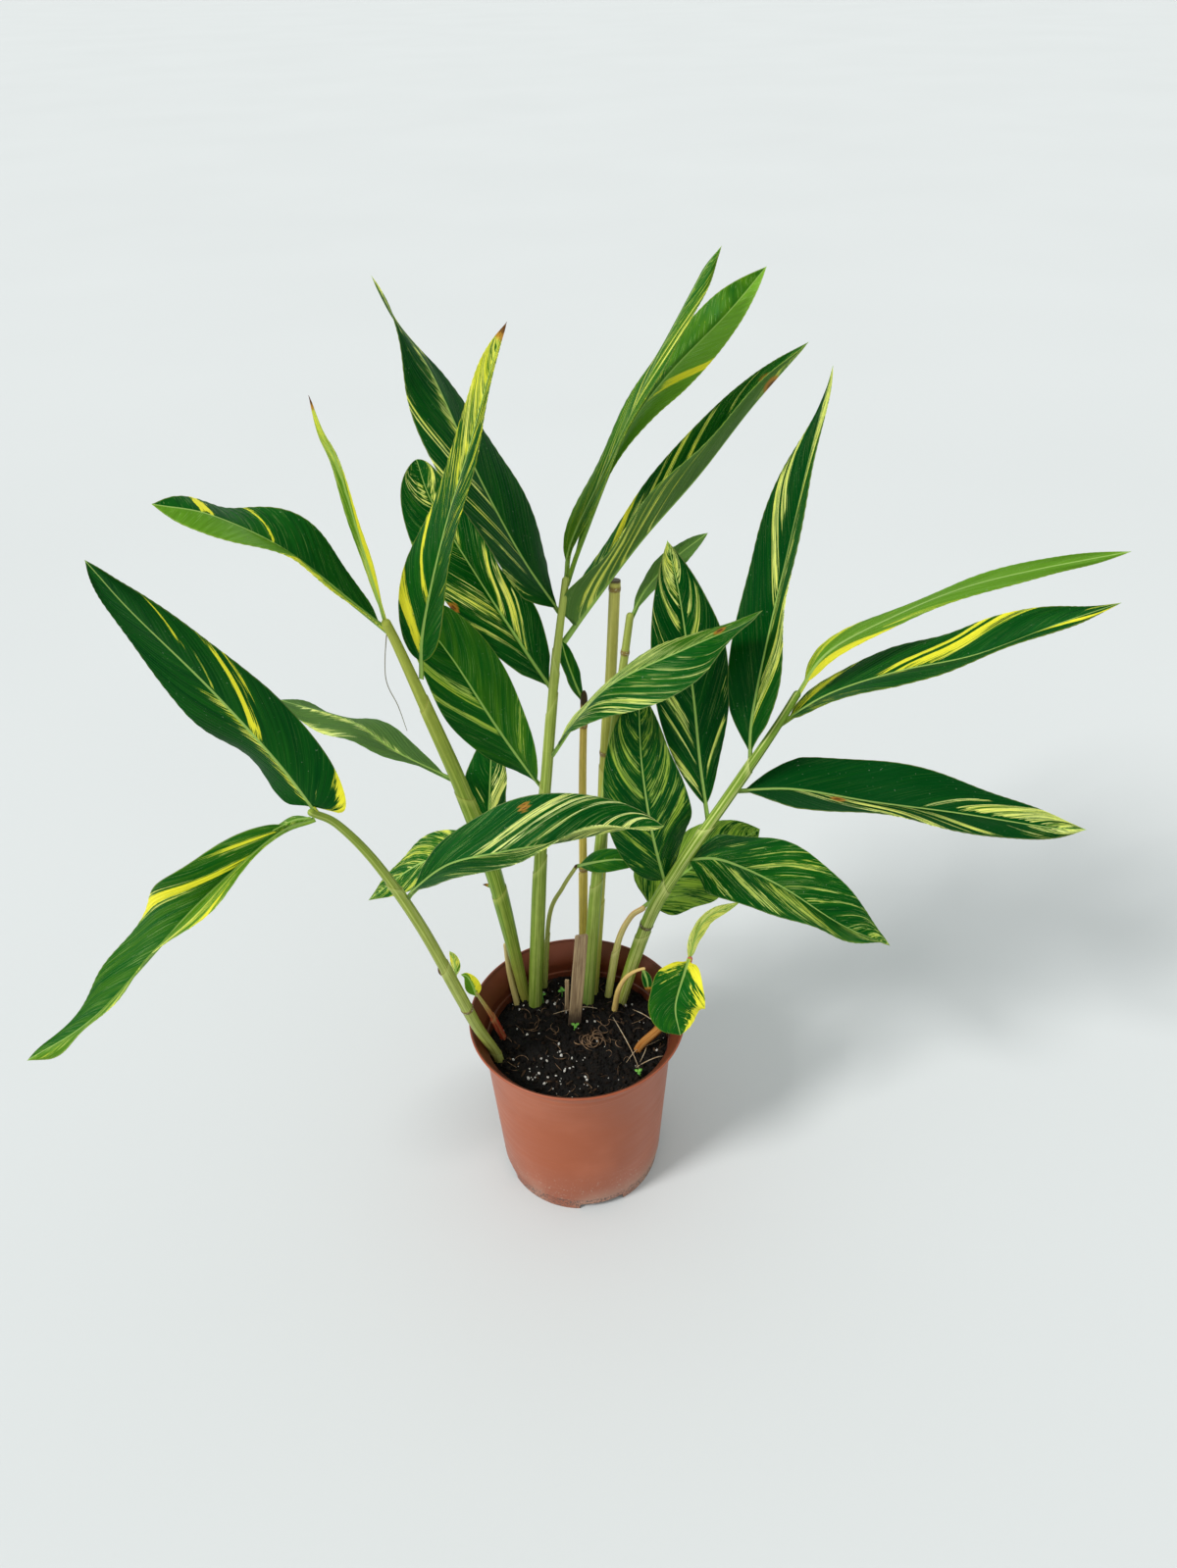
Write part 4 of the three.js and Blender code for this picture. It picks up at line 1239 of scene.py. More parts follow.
@dataclass
class Pot:
    """Round nursery pot with a flared rolled rim, an inner ledge, a step near the bottom, drain holes
    and four notches in its foot ring. Sizes are millimetres, as in its solid."""

    height: float = 163.6
    rim: float = 85.0
    shoulder: float = 74.7
    shoulder_height: float = 143.6
    body_foot: float = 66.4
    base: float = 64.2
    step_height: float = 14.0
    wall: float = 1.2
    ledge_height: float = 138.0
    ledge: float = 1.2
    floor_low: float = 7.0
    floor_top: float = 9.0
    hub: float = 30.0
    holes: int = 8
    hole_circle: float = 48.0
    hole_radius: float = 5.5
    notches: int = 4
    notch_width: float = 37.0
    notch_height: float = 6.5
    notch_angle: float = -77.0

    SEGMENTS: ClassVar[int] = 176
    ROLL: ClassVar[float] = 1.4
    FLARE_BEND: ClassVar[float] = 1.9
    SOFT_CORNER: ClassVar[float] = 1.5

    def wall_radius(self, z: Array | float) -> Array | float:
        """Outer radius of the tapered wall, a straight line from the step to the shoulder."""
        share = (z - self.step_height) / (self.shoulder_height - self.step_height)
        return self.body_foot + (self.shoulder - self.body_foot) * share

    def inner_radius(self, z: Array | float) -> Array | float:
        """Inner radius of the tapered wall."""
        return self.wall_radius(z) - self.wall

    def flare_radius(self, share: Array) -> Array:
        """Outer radius of the flare, which grows with the 1.9th power of the share of its height."""
        return self.shoulder + (self.rim - self.shoulder) * share**self.FLARE_BEND

    def flare(self, inwards: float) -> Array:
        """Profile of the flare.

        Args:
            inwards: millimetres from its outer face.

        Returns:
            Radius and height in rows, upwards.
        """
        share = np.linspace(0.1, 1, 10)
        top = self.height - self.ROLL
        height = self.shoulder_height + (top - self.shoulder_height) * share
        return np.column_stack([self.flare_radius(share) - inwards, height])

    def profile(self) -> Array:
        """Closed outline of the wall, from the hub outwards, up and back in.

        Returns:
            Radius and height in rows.
        """
        hub, wall, inner, ledge = self.hub, self.wall, self.inner_radius, self.ledge
        ledge_radius = inner(self.ledge_height) - ledge
        outside = [
            (0.01, 0), (hub - 4, 0), (hub - 1, 0.3), (hub, 1), (hub + 1.5, self.floor_low),
            (self.base - wall - 0.6, self.floor_low), (self.base - wall, 0.3), (self.base - 0.9, 0),
            (self.base - 0.2, 0.2), (self.base, 0.8), (self.base + 0.9, self.step_height - 2),
            (self.base + 1.3, self.step_height - 1.2), (self.body_foot - 0.3, self.step_height - 0.3),
            (self.body_foot, self.step_height + 0.3), (self.wall_radius(60), 60),
            (self.wall_radius(100), 100), (self.shoulder - 0.05, self.shoulder_height - 0.6),
            (self.shoulder + 0.15, self.shoulder_height),
        ]
        rim = [
            (self.rim + 0.0, self.height - 1.0), (self.rim - 0.1, self.height - 0.5),
            (self.rim - 0.5, self.height - 0.12), (self.rim - 1.0, self.height),
            (self.rim - 1.6, self.height - 0.12), (self.rim - 2.1, self.height - 0.5),
        ]
        inside = [
            (self.shoulder - wall, self.shoulder_height),
            (inner(self.ledge_height) + 0.1, self.ledge_height + 0.3),
            (ledge_radius, self.ledge_height - 0.2), (ledge_radius - 0.1, self.ledge_height - 0.8),
            (inner(100) - ledge, 100), (inner(60) - ledge * 0.6, 60),
            (inner(self.step_height) - 0.4, self.step_height),
            (inner(self.step_height) - 2.4, self.floor_top),
            (hub - 0.6, self.floor_top), (hub - 4, 2), (0.01, 2),
        ]
        flare_in = self.flare(wall + 0.4)[::-1]
        return np.vstack([outside, self.flare(0), rim, flare_in, inside])

    def cutter(self, points: Array) -> Object:
        """Object for a cut, from ring points as rings by points by 3, in mm."""
        return rings_shape(points).piece("cutter", [])

    def cutters(self) -> list[Object]:
        """Round drain holes through the floor, and blocks that notch the foot ring.

        Returns:
            One object for each cut.
        """
        made = []
        turn = circle(24)
        for angle in 2 * np.pi * (np.arange(self.holes) + 0.5) / self.holes:
            centre = self.hole_circle * np.array([np.cos(angle), np.sin(angle)])
            ring = centre + self.hole_radius * np.column_stack([np.cos(turn), np.sin(turn)])
            rings = np.stack([np.column_stack([ring, np.full(24, z)]) for z in (4.0, 13.0)])
            made.append(self.cutter(rings))
        for angle in np.radians(self.notch_angle) + 2 * np.pi * np.arange(self.notches) / self.notches:
            ahead = np.array([np.cos(angle), np.sin(angle)])
            side = np.array([-ahead[1], ahead[0]])
            half, top, soft = self.notch_width / 2, self.notch_height, self.SOFT_CORNER
            outline = [
                (-half, -5), (half, -5), (half, top - soft), (half - soft, top), (soft - half, top),
                (-half, top - soft),
            ]
            reach = (self.base - 8, self.base + 12)
            rings = [[[*(ahead * out + side * a), z] for a, z in outline] for out in reach]
            made.append(self.cutter(np.array(rings)))
        return made

    def build(self) -> Object:
        """Turn the outline round the axis, cut the holes and notches, and dress the pot.

        Returns:
            The pot.
        """
        outline, turn = self.profile(), circle(self.SEGMENTS)
        height = np.repeat(outline[:, 1:], self.SEGMENTS, axis=1)
        rings = [outline[:, :1] * np.cos(turn), outline[:, :1] * np.sin(turn), height]
        blank = rings_shape(np.stack(rings, -1)).piece("pot_blank", [], 40)
        tools = self.cutters()
        for tool in tools:
            cut = blank.modifiers.new("cut", "BOOLEAN")
            cut.operation, cut.object, cut.solver = "DIFFERENCE", tool, "EXACT"
        finished = blank.evaluated_get(bpy.context.evaluated_depsgraph_get())
        mesh = bpy.data.meshes.new_from_object(finished)
        for spare in [blank, *tools]:
            bpy.data.objects.remove(spare)
        mesh.name = "pot_fine"
        places = np.empty(len(mesh.vertices) * 3, np.float32)
        mesh.vertices.foreach_get("co", places)
        places = places.reshape(-1, 3) / MM
        radius, height = np.hypot(places[:, 0], places[:, 1]), places[:, 2]
        flare_height = self.height - self.ROLL - self.shoulder_height
        share = np.clip((height - self.shoulder_height) / flare_height, 0, 1)
        straight = self.wall_radius(height) - self.wall / 2
        middle = np.where(height > self.shoulder_height, self.flare_radius(share) - 0.8, straight)
        keep_value(mesh, "wall", np.column_stack([height, radius < middle, 0 * height]))
        mesh.materials.clear()
        mesh.materials.append(PotFinish().material())
        mesh.polygons.foreach_set("use_smooth", np.ones(len(mesh.polygons), bool))
        mesh.set_sharp_from_angle(angle=np.radians(40))
        return settle(placed("pot_fine", mesh), ("pot",))


# Soil


@dataclass(frozen=True)
class SoilFinish:
    """Damp peat, its crumbs, white perlite, pale roots and bits of bark."""

    peat: Colour = (0.0022, 0.0016, 0.0013)
    brown: Colour = (0.011, 0.006, 0.003)
    perlite: Colour = (0.60, 0.585, 0.55)
    grey_perlite: Colour = (0.45, 0.42, 0.38)
    bark: Colour = (0.02, 0.010, 0.005)
    light_bark: Colour = (0.07, 0.038, 0.018)
    dark_root: Colour = (0.05, 0.026, 0.012)
    brown_root: Colour = (0.26, 0.15, 0.075)
    root: Colour = (0.36, 0.24, 0.13)
    pale_root: Colour = (0.46, 0.38, 0.27)
    sprout: Colour = (0.16, 0.42, 0.05)
    dark_sprout: Colour = (0.07, 0.24, 0.03)

    def peat_material(self) -> Material:
        """Peat: nearly black, with browner crumbs and a rough broken surface.

        Returns:
            The material.
        """
        g = Graph("peat")
        place = g.place()
        coarse, fine = g.noise(place, 150.0, 3, 0.65), g.noise(place, 700.0, 2, 0.7)
        browner = g.smooth(g.plus_times(fine, 0.5, g.times(coarse, 0.5)), 0.52, 0.66)
        colour = g.mix(browner, self.peat, self.brown)
        normal = g.bump(g.plus_times(coarse, 1.0, g.times(fine, 0.5)), 0.9, 0.0025)
        return g.surface(colour, g.plus_times(fine, 0.5, 0.55), normal, Specular_IOR_Level=0.2)

    def grain_material(self, name: str, one: Colour, other: Colour, rough: float) -> Material:
        """Grains whose colour lies between two, by the first number of their "grain" value.

        Args:
            name: name of the material.
            one: colour of the grains with a 0.
            other: colour of the grains with a 1.
            rough: roughness.

        Returns:
            The material.
        """
        g = Graph(name)
        mottle = g.noise(g.place(), 900.0, 2, 0.6)
        colour = g.mix(g.value("grain")[0], one, other)
        colour = g.shade(colour, g.plus_times(mottle, 0.9, 0.5))
        return g.surface(colour, rough, g.bump(mottle, 0.6, 0.0006), Specular_IOR_Level=0.2)

    def root_material(self, name: str, one: Colour, other: Colour) -> Material:
        """Mottled fibres.

        Args:
            name: name of the material.
            one: colour of the darker spots of the mottle.
            other: colour of the lighter ones.

        Returns:
            The material.
        """
        g = Graph(name)
        mottle = g.noise(g.place(), 260.0, 3, 0.6)
        colour = g.mix(g.smooth(mottle, 0.35, 0.65), one, other)
        return g.surface(colour, g.plus_times(mottle, 0.3, 0.5), g.bump(mottle, 0.5, 0.0004))


@dataclass
class Soil:
    """Soil in the pot: a low mound round the stems with crumbs, perlite, bark and roots on it.
    Lengths are millimetres."""

    pot: Pot
    finish: SoilFinish = SoilFinish()
    level: float = 130.0
    mound: float = 5.0
    rough: float = 1.1

    CRUMBS: ClassVar[int] = 1500
    CHIPS: ClassVar[int] = 90
    GAP: ClassVar[float] = 0.35

    def height(self, x: Array, y: Array) -> Array:
        """Height of the ground.

        Formula: the level, plus a bell-shaped mound, plus crossing sine waves.

        Args:
            x: places to the right of the axis.
            y: places behind it.

        Returns:
            One height for each place.
        """
        mound = self.mound * np.exp(-((x / 60) ** 2 + ((y - 45) / 38) ** 2))
        lumps = np.sin(x / 6.1 + 1.3) * np.cos(y / 7.3) + 0.6 * np.sin((x + 2 * y) / 9.7)
        return self.level + mound + self.rough * lumps

    def ground(self) -> Shape:
        """Closed body of the soil.

        Formula: rings of the top have the ground's height plus random crumbs of several sizes, and
        the rings below follow the pot's inside with a small gap, down to the pot's floor.

        Returns:
            The body.
        """
        pot, turn = self.pot, circle(220)
        side = pot.inner_radius(self.level) - pot.ledge - self.GAP
        radius = np.concatenate([[0.02], np.linspace(0.6, side, 92)])[:, None]
        x, y = radius * np.cos(turn), radius * np.sin(turn)
        flat = np.column_stack([x.ravel(), y.ravel()])
        crumbs = 0.75 * ripple(flat, 7, 3) + 0.6 * np.abs(ripple(flat, 3.4, 5))
        crumbs = crumbs + 0.3 * ripple(flat, 1.8, 8)
        fade = np.clip((side - radius) / 4, 0, 1)
        z = self.height(x, y) + crumbs.reshape(x.shape) * (0.25 + 0.75 * fade) - 0.6
        top = np.stack([x, y, z], -1)
        low = [(side - 0.1, self.level - 5)]
        low += [(pot.inner_radius(k) - pot.ledge - 0.4, k) for k in (90.0, 45.0, 16.0)]
        low += [(pot.body_foot - pot.wall - 4, 9.5), (pot.hub - 1, 9.5)]
        low += [(pot.hub - 5, 2.5), (0.02, 2.5)]
        below = [np.stack([r * np.cos(turn), r * np.sin(turn), 0 * turn + h], -1) for r, h in low]
        return rings_shape(np.concatenate([top, np.stack(below)]))

    def spots(self, count: int, seed: int, reach: float = 69.0) -> Array:
        """Random places on the ground, even over its area.

        Args:
            count: number of places.
            seed: start of the random numbers.
            reach: radius of the area round the axis.

        Returns:
            Points in rows.
        """
        rng = np.random.default_rng(seed)
        radius, turn = reach * np.sqrt(rng.random(count)), rng.uniform(0, 2 * np.pi, count)
        x, y = radius * np.cos(turn), radius * np.sin(turn)
        return np.column_stack([x, y, self.height(x, y)])

    def crumbs(self) -> Object:
        """Crumbs of peat, from dust to 5 mm clods.

        Returns:
            The piece.
        """
        rng = np.random.default_rng(11)
        places = self.spots(self.CRUMBS, 12)
        size = 0.5 + 1.9 * rng.random(self.CRUMBS) ** 2.4
        places[:, 2] += 0.1 * size
        sizes = size[:, None] * rng.uniform(0.6, 1.25, (self.CRUMBS, 3))
        skin = self.finish.grain_material("peat_crumb", self.finish.peat, self.finish.brown, 0.85)
        shape = scattered(ball(), places, sizes, 13, 0.28)
        return settle(shape.piece("soil_crumbs", [skin], 20))

    def perlite(self) -> Object:
        """White grains of perlite, thicker at the front left.

        Returns:
            The piece.
        """
        rng = np.random.default_rng(21)
        anywhere, front = self.spots(60, 22), self.spots(34, 23, 26.0)
        front[:, :2] += (-16, -36)
        front[:, 2] = self.height(front[:, 0], front[:, 1])
        places = np.vstack([anywhere, front])
        places = places[np.hypot(places[:, 0], places[:, 1]) < 69.5]
        count = len(places)
        size = 0.4 + 1.0 * rng.random(count) ** 1.8
        places[:, 2] += 0.7 + 0.3 * size
        sizes = size[:, None] * rng.uniform(0.7, 1.2, (count, 3))
        look = self.finish
        skin = look.grain_material("perlite_grain", look.perlite, look.grey_perlite, 0.7)
        shape = scattered(ball(), places, sizes, 24, 0.22)
        return settle(shape.piece("soil_perlite", [skin], 30))

    def bark(self) -> Object:
        """Flat chips of bark and husk.

        Returns:
            The piece.
        """
        rng = np.random.default_rng(31)
        places = self.spots(self.CHIPS, 32)
        places[:, 2] += 0.5
        ranges = ((1.6, 4.2), (0.7, 1.5), (0.3, 0.6))
        sizes = np.column_stack([rng.uniform(*ends, self.CHIPS) for ends in ranges])
        skin = self.finish.grain_material("bark_chip", self.finish.bark, self.finish.light_bark, 0.8)
        shape = scattered(ball(), places, sizes, 34, 0.2)
        return settle(shape.piece("soil_bark", [skin], 30))

    def fibre(self, flat: Array, lift: float, radii: tuple[float, ...]) -> Shape:
        """Tube that follows the ground along points given as x, y and height above it."""
        z = self.height(flat[:, 0], flat[:, 1]) + flat[:, 2] + lift
        return tube(np.column_stack([flat[:, :2], z]), radii, 18)

    def roots(self) -> list[Object]:
        """Curled brown roots in the middle, fine ones all over, and long pale ones at the right.

        Returns:
            The brown and the pale piece.
        """
        rng = np.random.default_rng(41)
        fine = []
        for place in self.spots(60, 42, 64.0):
            turn, bend = rng.uniform(0, 2 * np.pi), rng.uniform(-0.9, 0.9)
            step = rng.uniform(1.6, 4.2)
            way = turn + bend * np.arange(5)
            line = np.cumsum(np.column_stack([np.cos(way), np.sin(way)]) * step, axis=0) + place[:2]
            if (np.hypot(line[:, 0], line[:, 1]) < 68).all():
                lift = np.array([-0.6, 0.5, 0.9, 0.5, -0.6]) + rng.uniform(-0.2, 0.5)
                thin = rng.uniform(0.10, 0.22)
                fine.append(self.fibre(np.column_stack([line, lift]), 0.9, (thin, thin, thin * 0.6)))
        for _ in range(15):
            centre = np.array([14.0, 0.0]) + rng.normal(size=2) * (9.0, 7.0)
            span = rng.uniform(1.2, 3.4)
            way = rng.uniform(0, 2 * np.pi) + np.linspace(0, rng.uniform(2.6, 4.6), 7)
            loop = centre + rng.uniform(3, 6.5) * np.column_stack([np.cos(way), np.sin(way)])
            lift = np.array([-0.8, 0.7, 1.3, 1.6, 1.3, 0.7, -0.8]) * span / 2
            thick = rng.uniform(0.22, 0.5)
            radii = (thick * 0.7, thick, thick * 0.5)
            fine.append(self.fibre(np.column_stack([loop, lift]), 0.8, radii))
        runs = [
            [(29, 20, 1.5), (34, 8, 2.5), (39, -6, 2), (44, -20, 1.5), (47, -32, 0)],
            [(66, -2, 0), (56, -9, 2.5), (46, -14, 2), (37, -24, 1)],
            [(69, -20, 0.5), (62, -24, 3), (52, -27, 2.5), (44, -29, 0)],
            [(55, -5, 1), (53, -16, 3), (48, -25, 1)],
            [(-20, 26, 0.5), (-8, 29, 2), (6, 31, 2), (18, 29, 0.5)],
            [(46, 30, 0.5), (54, 22, 2.5), (62, 16, 1), (67, 12, 0)],
        ]
        pale = [self.fibre(np.array(run, float), 0.8, (0.2, 0.36, 0.34, 0.2)) for run in runs]
        look = self.finish
        brown = look.root_material("root_brown", look.dark_root, look.brown_root)
        light = look.root_material("root_pale", look.root, look.pale_root)
        return [
            settle(joined(fine).piece("soil_roots", [brown], 60)),
            settle(joined(pale).piece("soil_long_roots", [light], 60)),
        ]

    def sprouts(self) -> Object:
        """Seedlings: a thin stalk with three small leaves.

        Returns:
            The piece.
        """
        plants = [
            (-3.3, 10.2, 5.0, 0.4), (-12.0, 46.7, 5.5, 1.6), (47.3, -38.2, 5.0, 2.6),
            (-27.5, 41.0, 8.0, 2.2),
        ]
        parts = []
        for x, y, tall, turn in plants:
            z = float(self.height(np.array(x), np.array(y)))
            lean = 1.5 * np.array([np.cos(turn), np.sin(turn)])
            foot, head = np.array([x, y, z - 1]), np.array([x + lean[0], y + lean[1], z + tall])
            stalk = np.array([foot, (foot + head) / 2 + (0.3, 0, 0), head])
            parts.append(tube(stalk, (0.45, 0.4, 0.35), 8))
            for k in range(3):
                way = turn + 2.2 * k
                out = np.array([np.cos(way), np.sin(way), 0.35])
                line = np.array([head, head + out * 1.8, head + out * 3.6 - (0, 0, 0.5)])
                leaf = tube(line, (0.5, 1.5, 0.5), 9, 8)
                leaf.points[:, 2] = head[2] + (leaf.points[:, 2] - head[2]) * 0.45
                parts.append(leaf)
        look = self.finish
        skin = look.root_material("sprout_green", look.sprout, look.dark_sprout)
        return settle(joined(parts).piece("soil_sprouts", [skin], 60))

    def build(self) -> None:
        """Make the ground and all that lies on it."""
        ground = self.ground().piece("soil_ground", [self.finish.peat_material()], 70)
        settle(ground, ("soil",))
        for make in (self.crumbs, self.perlite, self.bark, self.roots, self.sprouts):
            make()


# Slats and rhizome


@dataclass(frozen=True)
class WoodFinish:
    """Weathered wood: grey-brown, with dark grain lines along it and a damp dark foot."""

    grey: Colour = (0.46, 0.33, 0.18)
    brown: Colour = (0.24, 0.15, 0.08)
    painted_shade_and_damp: Colour = (0.045, 0.025, 0.014)

    def material(self, name: str, damp_top: float) -> Material:
        """Material of a slat.

        Args:
            name: name of the material.
            damp_top: height in mm where the damp foot ends.

        Returns:
            The material.
        """
        g = Graph(name)
        across, depth, height = g.value("grain_way")
        flow = g.vector(across, depth, height)
        bands = g.noise(flow, (0.9, 0.9, 0.02), 3, 0.65)
        lines = g.noise(flow, (3.6, 3.6, 0.05), 2, 0.6)
        stains = g.noise(flow, (0.2, 0.2, 0.08), 3, 0.6)
        colour = g.mix(g.smooth(bands, 0.38, 0.62), self.brown, self.grey)
        colour = g.shade(colour, g.plus_times(lines, 1.1, 0.45))
        colour = g.mix(g.smooth(stains, 0.5, 0.7, 0.45), colour, self.brown)
        painted_shade_and_damp = g.smooth(g.plus_times(stains, -24.0, height), damp_top - 4.0, damp_top - 20.0, 0.9)
        colour = g.mix(painted_shade_and_damp, colour, self.painted_shade_and_damp)
        return g.surface(colour, 0.8, g.bump(g.plus_times(lines, 1.0, bands), 0.7, 0.0006))


@dataclass
class Slat:
    """Flat wooden slat pushed into the soil, with worn edges. Lengths are millimetres."""

    name: str
    foot: Point
    top: Point
    width: float
    thickness: float
    turn: float
    damp_top: float

    WORN: ClassVar[float] = 0.35

    def squared(self, wave: Array) -> Array:
        """Sine or cosine raised to the power of the corners' wear, with its sign kept."""
        return np.sign(wave) * np.abs(wave) ** self.WORN

    def shape(self) -> Shape:
        """Closed slat.

        Formula: each ring is a rectangle with its corners rounded, as a circle whose sine and
        cosine are raised to the power 0.35, in the plane across the slat's axis. The ring's two
        directions are the level ones at the slat's turn, turned by the least angle that takes
        upright to the axis. Both ends pull in, and the broad faces have long dents.

        Returns:
            The slat.
        """
        foot, top = np.array(self.foot, float), np.array(self.top, float)
        ahead = (top - foot) / np.linalg.norm(top - foot)
        upright = np.array([0.0, 0.0, 1.0])
        axis = np.cross(upright, ahead)
        sine, cosine = np.linalg.norm(axis), upright @ ahead
        axis = axis / sine
        flat = np.radians(self.turn)
        wide, deep = (
            level * cosine + np.cross(axis, level) * sine + axis * (axis @ level) * (1 - cosine)
            for level in np.array([[np.cos(flat), np.sin(flat), 0], [-np.sin(flat), np.cos(flat), 0]])
        )
        angle = circle(40)[None]
        share = np.concatenate([[0, 0.003], np.linspace(0.01, 0.99, 60), [0.996, 1.0]])[:, None]
        pull = 1 - 0.12 * smooth(np.abs(share - 0.5), 0.492, 0.5)
        a = self.squared(np.cos(angle)) * self.width / 2 * pull
        b = self.squared(np.sin(angle)) * self.thickness / 2 * pull
        length = np.linalg.norm(top - foot)
        way = np.stack([a, b, share * length + 0 * a], -1)
        dents = ripple(way.reshape(-1, 3) * (1, 1, 0.15), 2.2, 71).reshape(a.shape) * 0.09
        a, b = a * (1 - 0.02 * np.abs(dents)), b + dents * np.sign(b) * 0.7
        points = foot + ahead * (share * length)[..., None] + wide * a[..., None] + deep * b[..., None]
        way[..., 2] = points[..., 2]
        return rings_shape(points, {"grain_way": way})

    def build(self) -> Object:
        """Make the slat and dress it in weathered wood."""
        skin = WoodFinish().material(f"{self.name}_wood", self.damp_top)
        return settle(self.shape().piece(f"{self.name}_fine", [skin], 40), (self.name,))


@dataclass(frozen=True)
class RhizomeFinish:
    """Root stock under the soil: tan skin with darker rings and scales."""

    tan: Colour = (0.34, 0.22, 0.12)
    dark: Colour = (0.12, 0.06, 0.03)

    def dress(self) -> None:
        """Give the rhizome's own solid this finish on its material slot."""
        g = Graph("rhizome_skin")
        place = g.place()
        rings, scales = g.noise(place, (160.0, 40.0, 40.0), 2), g.noise(place, 420.0, 3, 0.6)
        colour = g.mix(g.smooth(rings, 0.4, 0.62), self.tan, self.dark)
        colour = g.shade(colour, g.plus_times(scales, 0.9, 0.55))
        made = g.surface(colour, 0.75, g.bump(scales, 0.6, 0.001))
        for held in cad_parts["rhizome"].material_slots:
            held.material = made


# Room


@dataclass
class Room:
    """Pale floor, soft light from the front left, and the camera at the photo's view. Metres."""

    eye: Point = (0.0, -0.6459, 0.8528)
    pitch: float = 35.88
    yaw: float = 1.247
    roll: float = -1.6
    lens: float = 27.017
    floor: Colour = (0.525, 0.54, 0.55)
    sky: Colour = (0.95, 1.0, 0.98)
    sky_strength: float = 0.92
    sun: Colour = (1.0, 0.985, 0.96)
    sun_way: Point = (0.60, 0.38, -0.70)
    sun_strength: float = 2.7
    sun_angle: float = 14.0

    FAR: ClassVar[float] = 60.0
    SENSOR: ClassVar[float] = 36.0
    CLIP_START: ClassVar[float] = 0.02
    CLIP_END: ClassVar[float] = 200.0

    def build_floor(self) -> None:
        """Large flat floor with a very faint mottle."""
        mesh = bpy.data.meshes.new("floor")
        far = self.FAR
        corners = [(-far, -far, 0), (far, -far, 0), (far, far, 0), (-far, far, 0)]
        mesh.from_pydata(corners, [], [(0, 1, 2, 3)])
        g = Graph("floor_paper")
        cloud = g.noise(g.place(), 1.1, 2)
        colour = g.shade(self.floor, g.plus_times(cloud, 0.06, 0.97))
        mesh.materials.append(g.surface(colour, 0.75, Specular_IOR_Level=0.2))
        placed("floor", mesh)

    def build_light(self) -> None:
        """Soft sun from the front left and an even pale sky."""
        world = bpy.data.worlds.new("studio")
        world.use_nodes = True
        sky = world.node_tree.nodes["Background"]
        sky.inputs[0].default_value = (*self.sky, 1.0)
        sky.inputs[1].default_value = self.sky_strength
        bpy.context.scene.world = world
        sun = bpy.data.lights.new("soft_sun", "SUN")
        sun.energy, sun.angle, sun.color = self.sun_strength, np.radians(self.sun_angle), self.sun
        way = np.array(self.sun_way) / np.linalg.norm(self.sun_way)
        side = np.cross(way, (0, 0, 1.0))
        side /= np.linalg.norm(side)
        turned = self.turned(side, np.cross(side, way), way, (0.0, 0.0, 2.0))
        placed("soft_sun", sun).matrix_world = turned

    @staticmethod
    def turned(right: Array, up: Array, ahead: Array, at: Point) -> Matrix:
        """Matrix of an object that looks ahead, with columns right, up, minus ahead and its place."""
        columns = np.column_stack([right, up, -ahead, at])
        return Matrix([*columns.tolist(), [0, 0, 0, 1]])

    def build_camera(self) -> None:
        """Camera looking down by the pitch, turned by the yaw, and rolled."""
        pitch, yaw, roll = np.radians([self.pitch, self.yaw, self.roll])
        ahead = np.array([np.sin(yaw) * np.cos(pitch), np.cos(yaw) * np.cos(pitch), -np.sin(pitch)])
        level = np.array([np.cos(yaw), -np.sin(yaw), 0.0])
        above = np.cross(level, ahead)
        right = np.cos(roll) * level + np.sin(roll) * above
        up = np.cos(roll) * above - np.sin(roll) * level
        data = bpy.data.cameras.new("photo_view")
        data.sensor_width, data.lens = self.SENSOR, self.lens
        data.clip_start, data.clip_end = self.CLIP_START, self.CLIP_END
        made = placed("photo_view", data)
        made.matrix_world = self.turned(right, up, ahead, self.eye)
        bpy.context.scene.camera = made

    def build(self) -> None:
        """Floor, light and camera, with colours shown as they are."""
        self.build_floor()
        self.build_light()
        self.build_camera()
        bpy.context.scene.view_settings.view_transform = "Standard"


# Tables. A leaf's first numbers are its midrib, width, belly, taper and the angles of its left and
# right half, and a look's are tone and yellow. A stem's are its path, radii and joints, and its look's
# are the colours of foot, body, top and stripe.

L, R = Side.LEFT, Side.RIGHT

